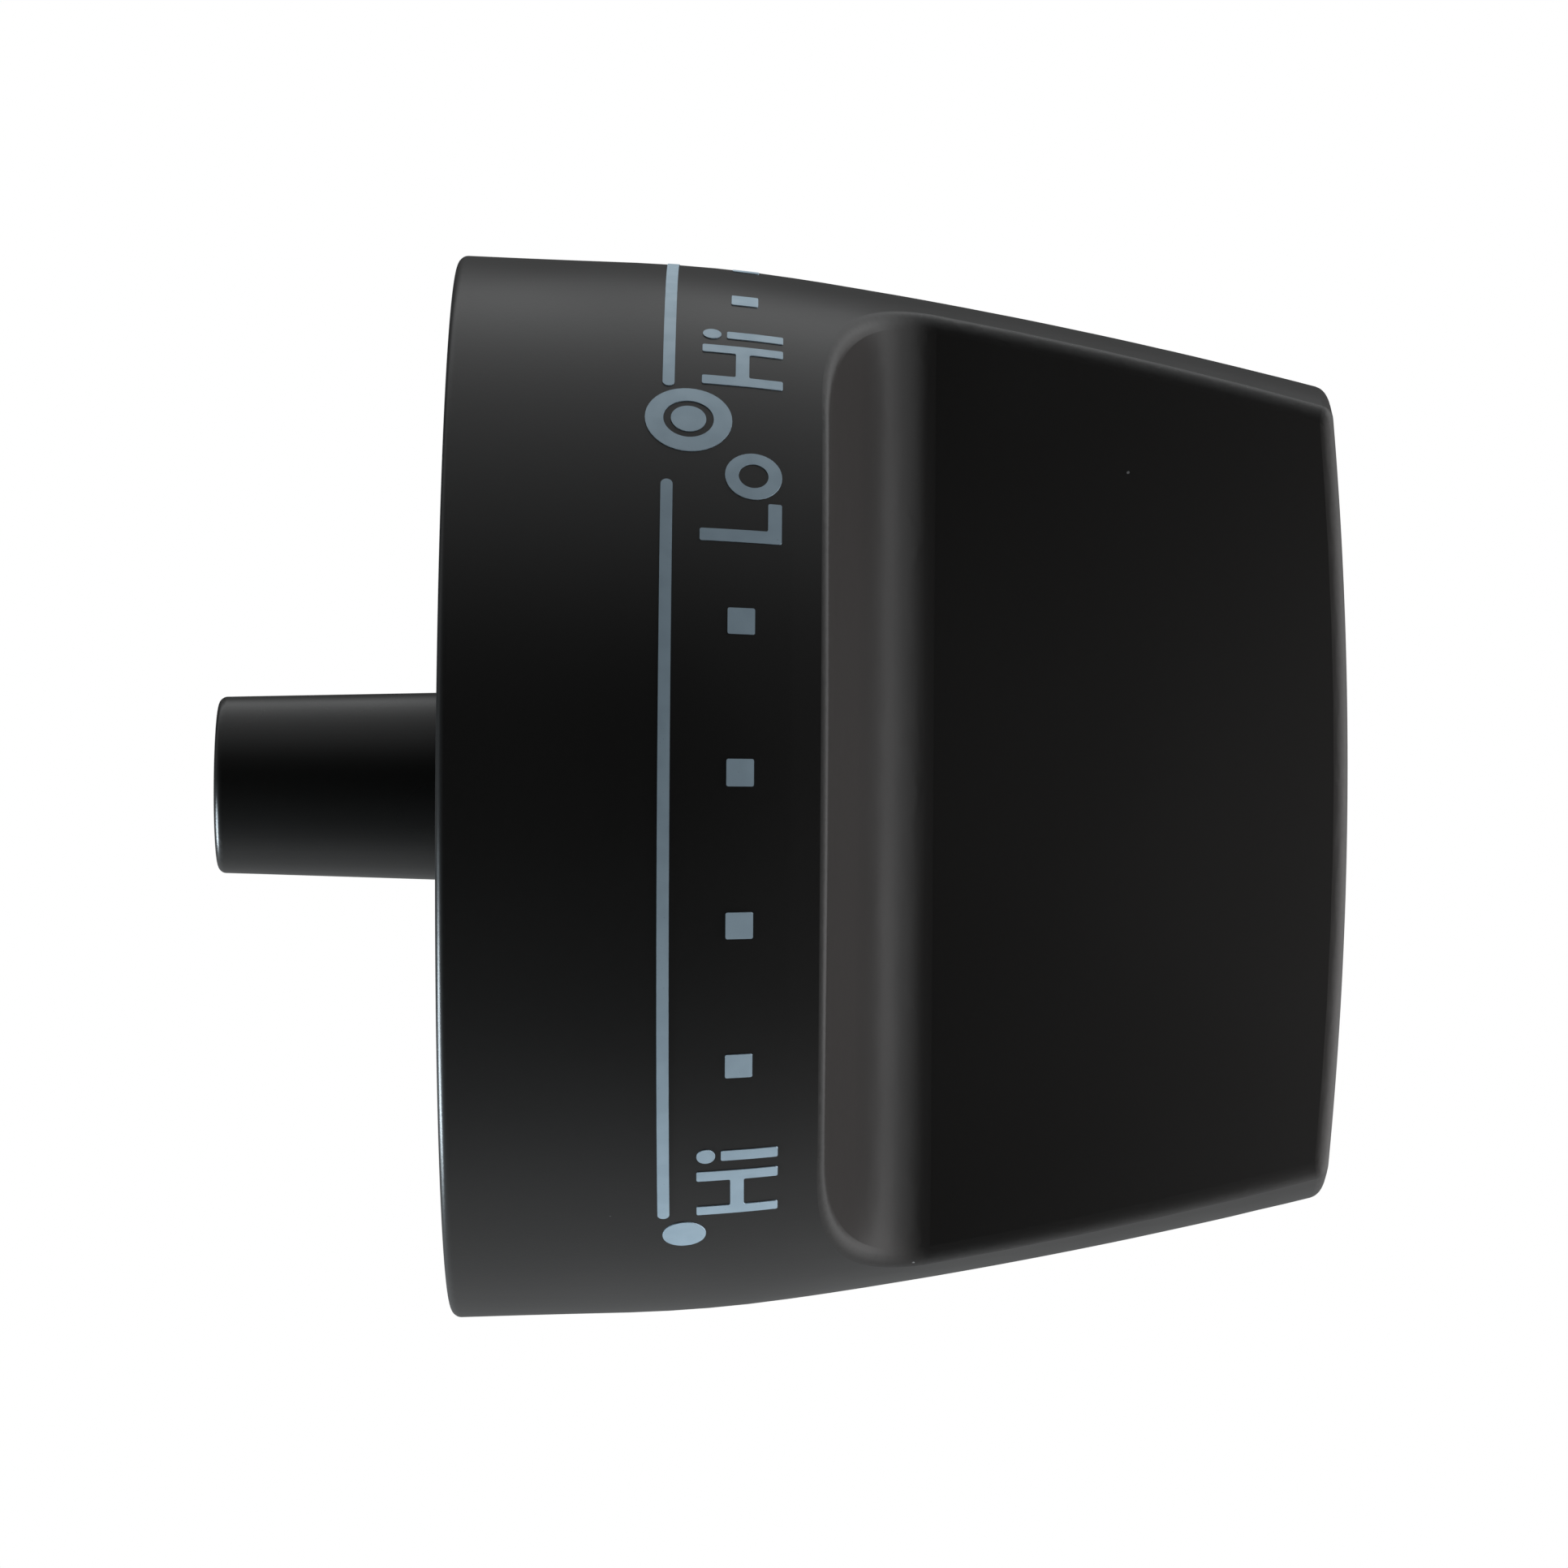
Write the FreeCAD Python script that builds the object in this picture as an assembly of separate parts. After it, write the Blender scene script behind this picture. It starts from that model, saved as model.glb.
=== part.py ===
import FreeCAD, Part

# Push-on control knob for a cooktop surface element, in millimetres and degrees.
#
# The knob turns about the X axis. X = 0 is the mouth of its stem and +X points to the front of
# the grip. The blade of the grip stands in the XZ plane, so its two flanks face -Y and +Y.
# Angles round the skirt start at -Y and grow towards -Z.

import math
import os

from FreeCAD import Vector

# ---- Grip shell: outer form, measured from its rear rim ----
RIM_RADIUS = 25.4
SHELL_DEPTH = 41.4  # rim to the edge of the end face
END_CROWN = 0.95  # how far the middle of the end face stands proud of its edge
SKIRT_STRAIGHT = 8.5  # length of the drafted skirt before its shoulder
SHOULDER_LENGTH = 7.5
SKIRT_SLOPE = 1.95  # slopes of the outline against the axis, growing to the front
SHOULDER_SLOPE = 8.5
END_SLOPE = 14.3

# ---- Grip shell: finger scoops that leave the blade between them ----
LIP_DEPTH = 17.7  # rim to the flat shelf of each scoop
SHELF_START = 17.0  # the shelf is flat beyond this distance from the blade's middle plane
SCOOP_RISE = 5.0  # how far the scoop climbs before it meets the flank
BLADE_THICKNESS = 14.7

# ---- Grip shell: edges and walls ----
LIP_EDGE_RADIUS = 0.45
FLANK_EDGE_RADIUS = 0.9
END_EDGE_RADIUS = 0.7
RIM_EDGE_RADIUS = 0.45
RIM_INNER_CHAMFER = 0.4
WALL = 2.0
CROSS_RIB_THICKNESS = 1.4
CROSS_RIB_SETBACK = 6.0  # from the shelf plane forward to the rear edge of the cross ribs

# ---- Stem hub ----
STEM_REACH = 11.4  # how far the stem stands out behind the rim
STEM_WALL = 1.16  # round the bore at the mouth
STEM_TAPER = 1.45  # degrees
STEM_EDGE_RADIUS = 0.4
FLANGE_THICKNESS = 2.0
FLANGE_SETBACK = 1.6  # gap from the flange forward to the inner face of the shelf
FLANGE_EDGE_GAP = 3.6  # gap round the flange inside the skirt
GUSSET_COUNT = 6
GUSSET_THICKNESS = 1.4
GUSSET_LENGTH = 6.5  # along the stem
GUSSET_EDGE_SETBACK = 4.0  # from the flange's edge in to the foot of a gusset
GUSSET_START = 30.0  # angle of the first gusset from +Z, which keeps them all off the stakes

# ---- Key of the hub, which carries the turning load into the blade ----
KEY_LENGTH = 12.0  # forward of the flange
KEY_WIDTH = 26.0  # along the blade
KEY_PLATE = 1.8
KEY_CLEARANCE = 0.15
KEY_BOSS_SETBACK = 0.7  # from the end plates' edges in to the side of the boss
KEY_CORE_WALL = 1.9
KEY_CORE_FLOOR = 2.0  # material left between the key's core and the shaft socket

# ---- Heat stakes that hold the hub in the shell ----
STAKE_EDGE = 3.8  # from the flange's edge in to the stakes' centres
STAKE_ANGLE = 31.5  # from the Y axis
STAKE_RADIUS = 1.1
STAKE_HOLE_CLEARANCE = 0.1
STAKE_SHOULDER_RADIUS = 2.2
STAKE_HEAD_RADIUS = 1.9
STAKE_HEAD_HEIGHT = 0.9

# ---- Shaft socket ----
SHAFT_RADIUS = 3.0
SHAFT_FLAT = 1.6  # from the shaft's axis to its flat
BORE_CLEARANCE = 0.06
SOCKET_CLEARANCE = 0.04  # round the shaft in the D-shaped length
FLAT_CLEARANCE = 0.05
ROUND_BORE_DEPTH = 5.0
BORE_STEP_LENGTH = 0.6  # the cone between the two
SOCKET_DEPTH = 20.0
BORE_CHAMFER = 0.3

# ---- Shaft clip: a spring leaf behind the flat ----
CLIP_THICKNESS = 0.3
CLIP_WIDTH = 4.0
CLIP_SPAN = 12.0  # from the foot to the crest
CLIP_PROUD = 0.35  # how far the crest stands out of the socket's flat
CLIP_TIP_LENGTH = 2.0
CLIP_TIP_RISE = 0.55
CLIP_FOOT_DROP = 0.42  # the foot lies this far behind the socket's flat
CLIP_HOOK = 1.2
CLIP_LIFT = 0.42  # travel of the crest
CLIP_BEND_RADIUS = 0.45
CLIP_CLEARANCE = 0.12

# ---- Printed scales ----
INK = 0.05
STROKE = 0.62
TEXT_BASE = 15.5  # from the rim to the foot of the letters
CAP_HEIGHT = 3.72
X_HEIGHT = 2.6
H_WIDTH = 3.1
L_WIDTH = 2.1
F_WIDTH = 2.1
I_DOT = 0.86
LETTER_GAP = 0.68
O_GAP = 0.2  # a round letter stands closer to its neighbour
SQUARE = 1.24
SQUARE_PLACE = 13.7  # from the rim
SCALE_STEP = 16.13  # angle between squares
LINE_PLACE = 10.25
LINE_WIDTH = 0.58
SYMBOL_PLACE = 11.2
DOT_RADIUS = 1.05
RING_RADIUS = 2.08
RING_WIDTH = 0.87
RING_DISC_RADIUS = 0.84

INNER_ZONE = {
    "symbol": 55.7,
    "line": (-34.1, 52.3),
    "high": 47.0,
    "first_square": 30.6,
    "low": -32.8,
}
DUAL_ZONE = {
    "symbol": -42.6,
    "line": (-131.7, -48.2),
    "high": -53.4,
    "first_square": -67.0,
    "low": -130.4,
}
SQUARES = 4
OFF_ANGLE = 138.5  # the middle of the gap between the two scales

# ---- Places along the axis that several pieces share ----
RIM_X = STEM_REACH
END_X = RIM_X + SHELL_DEPTH
SHELF_X = RIM_X + LIP_DEPTH
FLANGE_FRONT = SHELF_X - WALL - FLANGE_SETBACK
FLANGE_BACK = FLANGE_FRONT - FLANGE_THICKNESS
KEY_FRONT = FLANGE_FRONT + KEY_LENGTH
BORE_RADIUS = SHAFT_RADIUS + BORE_CLEARANCE
KEY_HALF_DEPTH = BLADE_THICKNESS / 2 - WALL - KEY_CLEARANCE
KEY_BOSS_RADIUS = KEY_HALF_DEPTH - KEY_BOSS_SETBACK
SOCKET_FLAT = SHAFT_FLAT + FLAT_CLEARANCE
CLIP_FOOT_X = SOCKET_DEPTH + CLIP_BEND_RADIUS + CLIP_CLEARANCE
CLIP_FOOT_Z = SOCKET_FLAT + CLIP_FOOT_DROP
CLIP_CREST_Z = SOCKET_FLAT - CLIP_PROUD + CLIP_THICKNESS
BEYOND = 4.0 * RIM_RADIUS  # larger than the knob, for cutting shapes
TOUCH = 0.01  # how close two places count as the same
SEAM_TURN = -90  # puts the seam of a spun surface on the +Y side, clear of the blade's edges
X_AXIS = Vector(1, 0, 0)
Y_AXIS = Vector(0, 1, 0)
ORIGIN = Vector(0, 0, 0)


# ---------------------------------------------------------------- outline


def tangent_arc(start, slope_from, slope_to, length):
    """An arc in the XZ plane that turns from one slope to another over a length of axis."""
    first, last = math.radians(slope_from), math.radians(slope_to)
    radius = length / (math.sin(last) - math.sin(first))

    def point(slope):
        along = radius * (math.sin(slope) - math.sin(first))
        drop = radius * (math.cos(first) - math.cos(slope))
        return Vector(start.x + along, 0, start.z - drop)

    end = point(last)
    return Part.Arc(start, point((first + last) / 2), end).toShape(), end


def outline(outset):
    """Edges of the shell's outline from the rim to the end face, moved out by outset."""
    rim = Vector(RIM_X, 0, RIM_RADIUS + outset)
    drop = SKIRT_STRAIGHT * math.tan(math.radians(SKIRT_SLOPE))
    shoulder = rim + Vector(SKIRT_STRAIGHT, 0, -drop)
    skirt = Part.makeLine(rim, shoulder)
    bend, neck = tangent_arc(shoulder, SKIRT_SLOPE, SHOULDER_SLOPE, SHOULDER_LENGTH)
    taper_length = SHELL_DEPTH - SKIRT_STRAIGHT - SHOULDER_LENGTH
    taper, end = tangent_arc(neck, SHOULDER_SLOPE, END_SLOPE, taper_length)
    return [skirt, bend, taper], rim, end


def radius_at(x):
    """Outer radius of the shell's outline at a place on the axis."""
    edges, _, _ = outline(0)
    plumb = Part.makeLine(Vector(x, 0, 0), Vector(x, 0, BEYOND))
    _, meetings, _ = plumb.distToShape(Part.Wire(edges))
    return meetings[0][1].z


def spun_body(inset, crown):
    """The outline spun into a solid, moved in by inset and closed by an end face."""
    edges, rim, end = outline(-inset)
    tip = Vector(END_X + crown, 0, 0)
    if crown > 0:
        dome_radius = (end.z**2 + crown**2) / (2 * crown)
        fall = dome_radius - math.sqrt(dome_radius**2 - (end.z / 2) ** 2)
        end_face = Part.Arc(end, Vector(tip.x - fall, 0, end.z / 2), tip).toShape()
    else:
        end_face = Part.makeLine(end, tip)
    back = Part.makeLine(Vector(RIM_X, 0, 0), rim)
    axis = Part.makeLine(tip, Vector(RIM_X, 0, 0))
    section = Part.Face(Part.Wire(Part.__sortEdges__([back] + edges + [end_face, axis])))
    section.rotate(ORIGIN, X_AXIS, SEAM_TURN)
    return section.revolve(ORIGIN, X_AXIS, 360)


# ---------------------------------------------------------------- grip shell


def scoop(side, grown):
    """The space in front of one shelf: its shelf, climb and flank, grown on all of them."""
    shelf = SHELF_X - grown
    flank = BLADE_THICKNESS / 2 - grown
    reach = SHELF_START - flank
    rise = SCOOP_RISE + grown
    centre = Vector(shelf + rise, SHELF_START, 0)
    foot = Vector(shelf, SHELF_START, 0)
    top = Vector(shelf + rise, flank, 0)
    if reach > rise:
        ellipse = Part.Ellipse(centre + Vector(0, -reach, 0), centre + Vector(-rise, 0, 0), centre)
    else:
        ellipse = Part.Ellipse(centre + Vector(-rise, 0, 0), centre + Vector(0, -reach, 0), centre)
    ends = sorted([ellipse.parameter(foot), ellipse.parameter(top)])
    if ends[1] - ends[0] > math.pi:
        ends = [ends[1], ends[0] + 2 * math.pi]
    climb = Part.ArcOfEllipse(ellipse, ends[0], ends[1]).toShape()
    outer = Vector(shelf, BEYOND, 0)
    corner = Vector(BEYOND, BEYOND, 0)
    front = Vector(BEYOND, flank, 0)
    lines = [(outer, foot), (top, front), (front, corner), (corner, outer)]
    edges = [climb] + [Part.makeLine(a, b) for a, b in lines]
    face = Part.Face(Part.Wire(Part.__sortEdges__(edges)))
    face.translate(Vector(0, 0, -BEYOND))
    solid = face.extrude(Vector(0, 0, 2 * BEYOND))
    if side < 0:
        solid = solid.mirror(ORIGIN, Y_AXIS)
    return solid


def outer_form():
    """The shell's outside as one full solid with its edges rounded."""
    form = spun_body(0, END_CROWN)
    form = form.cut([scoop(-1, 0), scoop(1, 0)])
    return round_edges(form)


def round_edges(form):
    """Round the scoops' lips, the blade's long edges, the end face and the rear rim."""
    edges = []
    for number, edge in enumerate(form.Edges, start=1):
        radii = edge_radii(edge)
        if radii:
            edges.append((number, *radii))
    return filleted(form, edges)


def edge_radii(edge):
    """Radii at the two ends of an outer edge, or None for one that stays as it is."""
    box = edge.BoundBox
    if is_seam(box) or is_straight(edge):
        return None
    if abs(box.XMax - RIM_X) < TOUCH:
        return RIM_EDGE_RADIUS, RIM_EDGE_RADIUS
    if box.XMin > END_X - TOUCH:
        return END_EDGE_RADIUS, END_EDGE_RADIUS
    half = BLADE_THICKNESS / 2 - TOUCH
    if box.YMin < half and box.YMax > -half:
        return None
    if abs(box.XMax - SHELF_X) < TOUCH:
        return LIP_EDGE_RADIUS, LIP_EDGE_RADIUS
    if abs(box.YLength) < TOUCH:
        return FLANK_EDGE_RADIUS, FLANK_EDGE_RADIUS
    return run_out(edge)


def is_seam(box):
    """Whether an edge's box shows the seam of a spun surface, which lies in the XY plane."""
    return box.ZLength < TOUCH


def is_straight(edge):
    """Whether an edge is a straight line."""
    return edge.Curve.TypeId == "Part::GeomLine"


def run_out(edge):
    """The two edge radii along the climb, from the lip's to the flank's."""
    if edge.firstVertex(True).X < edge.lastVertex(True).X:
        return LIP_EDGE_RADIUS, FLANK_EDGE_RADIUS
    return FLANK_EDGE_RADIUS, LIP_EDGE_RADIUS


def filleted(form, edges):
    """A solid with a list of (edge number, first radius, last radius) rounded at once."""
    document = FreeCAD.newDocument("fillets")
    base = document.addObject("Part::Feature", "base")
    base.Shape = form
    fillet = document.addObject("Part::Fillet", "fillet")
    fillet.Base = base
    fillet.Edges = edges
    document.recompute()
    shape = fillet.Shape.copy()
    FreeCAD.closeDocument(document.Name)
    return shape.Solids[0]


def cavity():
    """The hollow of the shell, one wall inside its outer form."""
    end_wall = Part.makeBox(WALL, BEYOND, BEYOND, Vector(END_X - WALL, -BEYOND / 2, -BEYOND / 2))
    return spun_body(WALL, 0).cut([scoop(-1, WALL), scoop(1, WALL), end_wall])


def cross_ribs():
    """Two ribs across the blade's hollow, just outside the hub's key."""
    start = SHELF_X + CROSS_RIB_SETBACK
    length = END_X - start
    near = KEY_WIDTH / 2 + KEY_CLEARANCE
    ribs = []
    for z in (near, -near - CROSS_RIB_THICKNESS):
        corner = Vector(start, -BLADE_THICKNESS / 2, z)
        ribs.append(Part.makeBox(length, BLADE_THICKNESS, CROSS_RIB_THICKNESS, corner))
    return ribs


def stake_places():
    """Centres of the four stakes on the flange's front face."""
    ring = flange_radius() - STAKE_EDGE
    y = ring * math.cos(math.radians(STAKE_ANGLE))
    z = ring * math.sin(math.radians(STAKE_ANGLE))
    return [Vector(FLANGE_FRONT, sy * y, sz * z) for sy in (-1, 1) for sz in (-1, 1)]


def stake(place):
    """A shoulder that seats the flange, the pin through it and the head melted behind it."""
    shoulder = Part.makeCylinder(STAKE_SHOULDER_RADIUS, SHELL_DEPTH, place, X_AXIS)
    back = place - Vector(FLANGE_THICKNESS, 0, 0)
    pin = Part.makeCylinder(STAKE_RADIUS, FLANGE_THICKNESS, back, X_AXIS)
    head_foot = back - Vector(STAKE_HEAD_HEIGHT, 0, 0)
    head = Part.makeCone(STAKE_RADIUS, STAKE_HEAD_RADIUS, STAKE_HEAD_HEIGHT, head_foot, X_AXIS)
    return [shoulder, pin, head]


def grip_shell():
    """The knob's one-piece moulding: skirt, shelves, blade, cross ribs and stakes."""
    left_standing = cross_ribs()
    for place in stake_places():
        left_standing += stake(place)
    core = cavity().cut(left_standing)
    shell = outer_form().cut(core)
    inner_radius = RIM_RADIUS - WALL
    rim = [edge for edge in shell.Edges if is_rim_circle(edge, inner_radius)]
    return shell.makeChamfer(RIM_INNER_CHAMFER, rim).Solids[0]


def is_rim_circle(edge, radius):
    """Whether an edge is the circle of this radius in the plane of the rear rim."""
    box = edge.BoundBox
    flat = box.XLength < 0.01 and abs(box.XMin - RIM_X) < 0.01
    return flat and abs(box.ZMax - radius) < 0.05


# ---------------------------------------------------------------- stem hub


def flange_radius():
    """Radius of the hub's flange, which follows the inside of the skirt."""
    return radius_at(FLANGE_FRONT) - WALL - FLANGE_EDGE_GAP


def stem_radius(x):
    """Outer radius of the tapered stem."""
    return BORE_RADIUS + STEM_WALL + x * math.tan(math.radians(STEM_TAPER))


def stem():
    """The tapered stem with its mouth edge rounded."""
    cone = Part.makeCone(stem_radius(0), stem_radius(FLANGE_FRONT), FLANGE_FRONT, ORIGIN, X_AXIS)
    mouth = [edge for edge in cone.Edges if edge.BoundBox.XMax < 0.01]
    return cone.makeFillet(STEM_EDGE_RADIUS, mouth)


def flange():
    """The disc that seats on the stake shoulders, with a hole for each stake."""
    start = Vector(FLANGE_BACK, 0, 0)
    disc = Part.makeCylinder(flange_radius(), FLANGE_THICKNESS, start, X_AXIS)
    hole_radius = STAKE_RADIUS + STAKE_HOLE_CLEARANCE
    holes = []
    for place in stake_places():
        start = place - Vector(FLANGE_THICKNESS, 0, 0)
        holes.append(Part.makeCylinder(hole_radius, FLANGE_THICKNESS, start, X_AXIS))
    return disc.cut(holes)


def gussets():
    """Radial ribs that brace the stem against the flange."""
    foot = flange_radius() - GUSSET_EDGE_SETBACK
    half = GUSSET_THICKNESS / 2
    root = stem_radius(0) - STEM_WALL / 2
    corners = [
        Vector(FLANGE_BACK, -half, root),
        Vector(FLANGE_BACK - GUSSET_LENGTH, -half, root),
        Vector(FLANGE_BACK - GUSSET_LENGTH, -half, stem_radius(FLANGE_BACK - GUSSET_LENGTH)),
        Vector(FLANGE_BACK, -half, foot),
    ]
    rib = Part.Face(Part.makePolygon(corners + corners[:1]))
    rib = rib.extrude(Vector(0, GUSSET_THICKNESS, 0))
    ribs = []
    for number in range(GUSSET_COUNT):
        ribs.append(rib.copy())
        ribs[-1].rotate(ORIGIN, X_AXIS, GUSSET_START + 360 * number / GUSSET_COUNT)
    return ribs


def key():
    """The I-shaped key in the blade's hollow: a web, two end plates and a cored boss."""
    start = Vector(FLANGE_FRONT, 0, 0)
    boss = Part.makeCylinder(KEY_BOSS_RADIUS, KEY_LENGTH, start, X_AXIS)
    web_corner = Vector(FLANGE_FRONT, -KEY_PLATE / 2, -KEY_WIDTH / 2)
    pieces = [boss, Part.makeBox(KEY_LENGTH, KEY_PLATE, KEY_WIDTH, web_corner)]
    for z in (-KEY_WIDTH / 2, KEY_WIDTH / 2 - KEY_PLATE):
        corner = Vector(FLANGE_FRONT, -KEY_HALF_DEPTH, z)
        pieces.append(Part.makeBox(KEY_LENGTH, 2 * KEY_HALF_DEPTH, KEY_PLATE, corner))
    return pieces


def key_core():
    """The blind hole that keeps the key's boss thin-walled."""
    floor = clip_slot_end() + KEY_CORE_FLOOR
    start = Vector(floor, 0, 0)
    return Part.makeCylinder(KEY_BOSS_RADIUS - KEY_CORE_WALL, KEY_FRONT - floor, start, X_AXIS)


def socket():
    """The shaft socket: a chamfered round bore, then a cone and a D-shaped bore."""
    mouth = Part.makeCone(BORE_RADIUS + BORE_CHAMFER, BORE_RADIUS, BORE_CHAMFER, ORIGIN, X_AXIS)
    round_bore = Part.makeCylinder(BORE_RADIUS, ROUND_BORE_DEPTH, ORIGIN, X_AXIS)
    step = Vector(ROUND_BORE_DEPTH, 0, 0)
    inner_radius = SHAFT_RADIUS + SOCKET_CLEARANCE
    cone = Part.makeCone(BORE_RADIUS, inner_radius, BORE_STEP_LENGTH, step, X_AXIS)
    start = step + Vector(BORE_STEP_LENGTH, 0, 0)
    deep = Part.makeCylinder(inner_radius, SOCKET_DEPTH - start.x, start, X_AXIS)
    width = 2 * BORE_RADIUS
    corner = Vector(ROUND_BORE_DEPTH, -BORE_RADIUS, -BORE_RADIUS)
    below_flat = Part.makeBox(SOCKET_DEPTH, width, BORE_RADIUS + SOCKET_FLAT, corner)
    return [mouth, round_bore, cone.common(below_flat), deep.common(below_flat)]


def clip_slot_end():
    """Front end of the slot that holds the clip's hook."""
    return CLIP_FOOT_X + CLIP_THICKNESS + CLIP_CLEARANCE


def clip_pocket():
    """The pocket behind the flat for the leaf, and the deeper slot for its hook."""
    half = CLIP_WIDTH / 2 + CLIP_CLEARANCE
    tip_top = CLIP_CREST_Z + CLIP_TIP_RISE + clip_tip_lift() + CLIP_CLEARANCE
    leaf_top = CLIP_FOOT_Z + CLIP_THICKNESS + CLIP_CLEARANCE
    top = max(tip_top, leaf_top)
    start = Vector(ROUND_BORE_DEPTH, -half, 0)
    leaf_room = Part.makeBox(clip_slot_end() - ROUND_BORE_DEPTH, 2 * half, top, start)
    above = Vector(ROUND_BORE_DEPTH, -BEYOND, SOCKET_FLAT - CLIP_PROUD)
    leaf_room = leaf_room.common(Part.makeBox(BEYOND, 2 * BEYOND, BEYOND, above))
    slot_start = CLIP_FOOT_X - CLIP_BEND_RADIUS - CLIP_CLEARANCE
    slot_height = CLIP_FOOT_Z + CLIP_HOOK + CLIP_CLEARANCE
    slot = Part.makeBox(
        clip_slot_end() - slot_start,
        2 * half,
        slot_height - SOCKET_FLAT + CLIP_PROUD,
        Vector(slot_start, -half, SOCKET_FLAT - CLIP_PROUD),
    )
    return [leaf_room, slot]


def stem_hub():
    """The hub moulding: stem, flange, gussets and key, with the socket cut into it."""
    hub = stem().fuse([flange()] + gussets() + key())
    hub = hub.cut(socket() + clip_pocket() + [key_core()])
    return hub.removeSplitter().Solids[0]


# ---------------------------------------------------------------- shaft clip


def clip_angle():
    """Turn of the leaf about its foot that lifts the crest by its travel."""
    return math.degrees(math.asin(CLIP_LIFT / CLIP_SPAN))


def clip_tip_lift():
    """How far the tip beyond the crest rises at full travel."""
    return CLIP_LIFT * (CLIP_SPAN + CLIP_TIP_LENGTH) / CLIP_SPAN


def shaft_clip():
    """A bent strip: hook, foot bend, leaf, crest and turned-up tip."""
    hook_top = Vector(CLIP_FOOT_X, 0, CLIP_FOOT_Z + CLIP_HOOK)
    foot = Vector(CLIP_FOOT_X, 0, CLIP_FOOT_Z)
    crest = Vector(CLIP_FOOT_X - CLIP_SPAN, 0, CLIP_CREST_Z)
    tip = crest + Vector(-CLIP_TIP_LENGTH, 0, CLIP_TIP_RISE)
    line = bent_line([hook_top, foot, crest, tip], CLIP_BEND_RADIUS)
    strip = line.makeOffset2D(CLIP_THICKNESS, fill=True, openResult=True)
    strip.translate(Vector(0, -CLIP_WIDTH / 2, 0))
    return strip.extrude(Vector(0, CLIP_WIDTH, 0)).Solids[0]


def bent_line(points, radius):
    """A polyline in the XZ plane with an arc of this radius at each bend."""
    edges = []
    start = points[0]
    for before, corner, after in zip(points, points[1:], points[2:]):
        into = (before - corner).normalize()
        out = (after - corner).normalize()
        half = into.getAngle(out) / 2
        reach = radius / math.tan(half)
        first = corner + into * reach
        last = corner + out * reach
        bisector = (into + out).normalize()
        middle = corner + bisector * (radius / math.sin(half) - radius)
        edges.append(Part.makeLine(start, first))
        edges.append(Part.Arc(first, middle, last).toShape())
        start = last
    edges.append(Part.makeLine(start, points[-1]))
    return Part.Wire(edges)


# ---------------------------------------------------------------- printed scales


def ink_section():
    """The half section of an ink film over the whole outline."""
    inner, inner_rim, inner_end = outline(0)
    outer, outer_rim, outer_end = outline(INK)
    ends = [Part.makeLine(inner_rim, outer_rim), Part.makeLine(inner_end, outer_end)]
    return Part.Face(Part.Wire(Part.__sortEdges__(inner + outer + ends)))


def turned(shape, angle):
    """A shape made at +Z, turned to an angle of the skirt."""
    copy = shape.copy()
    copy.rotate(ORIGIN, X_AXIS, 90 + angle)
    return copy


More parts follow.
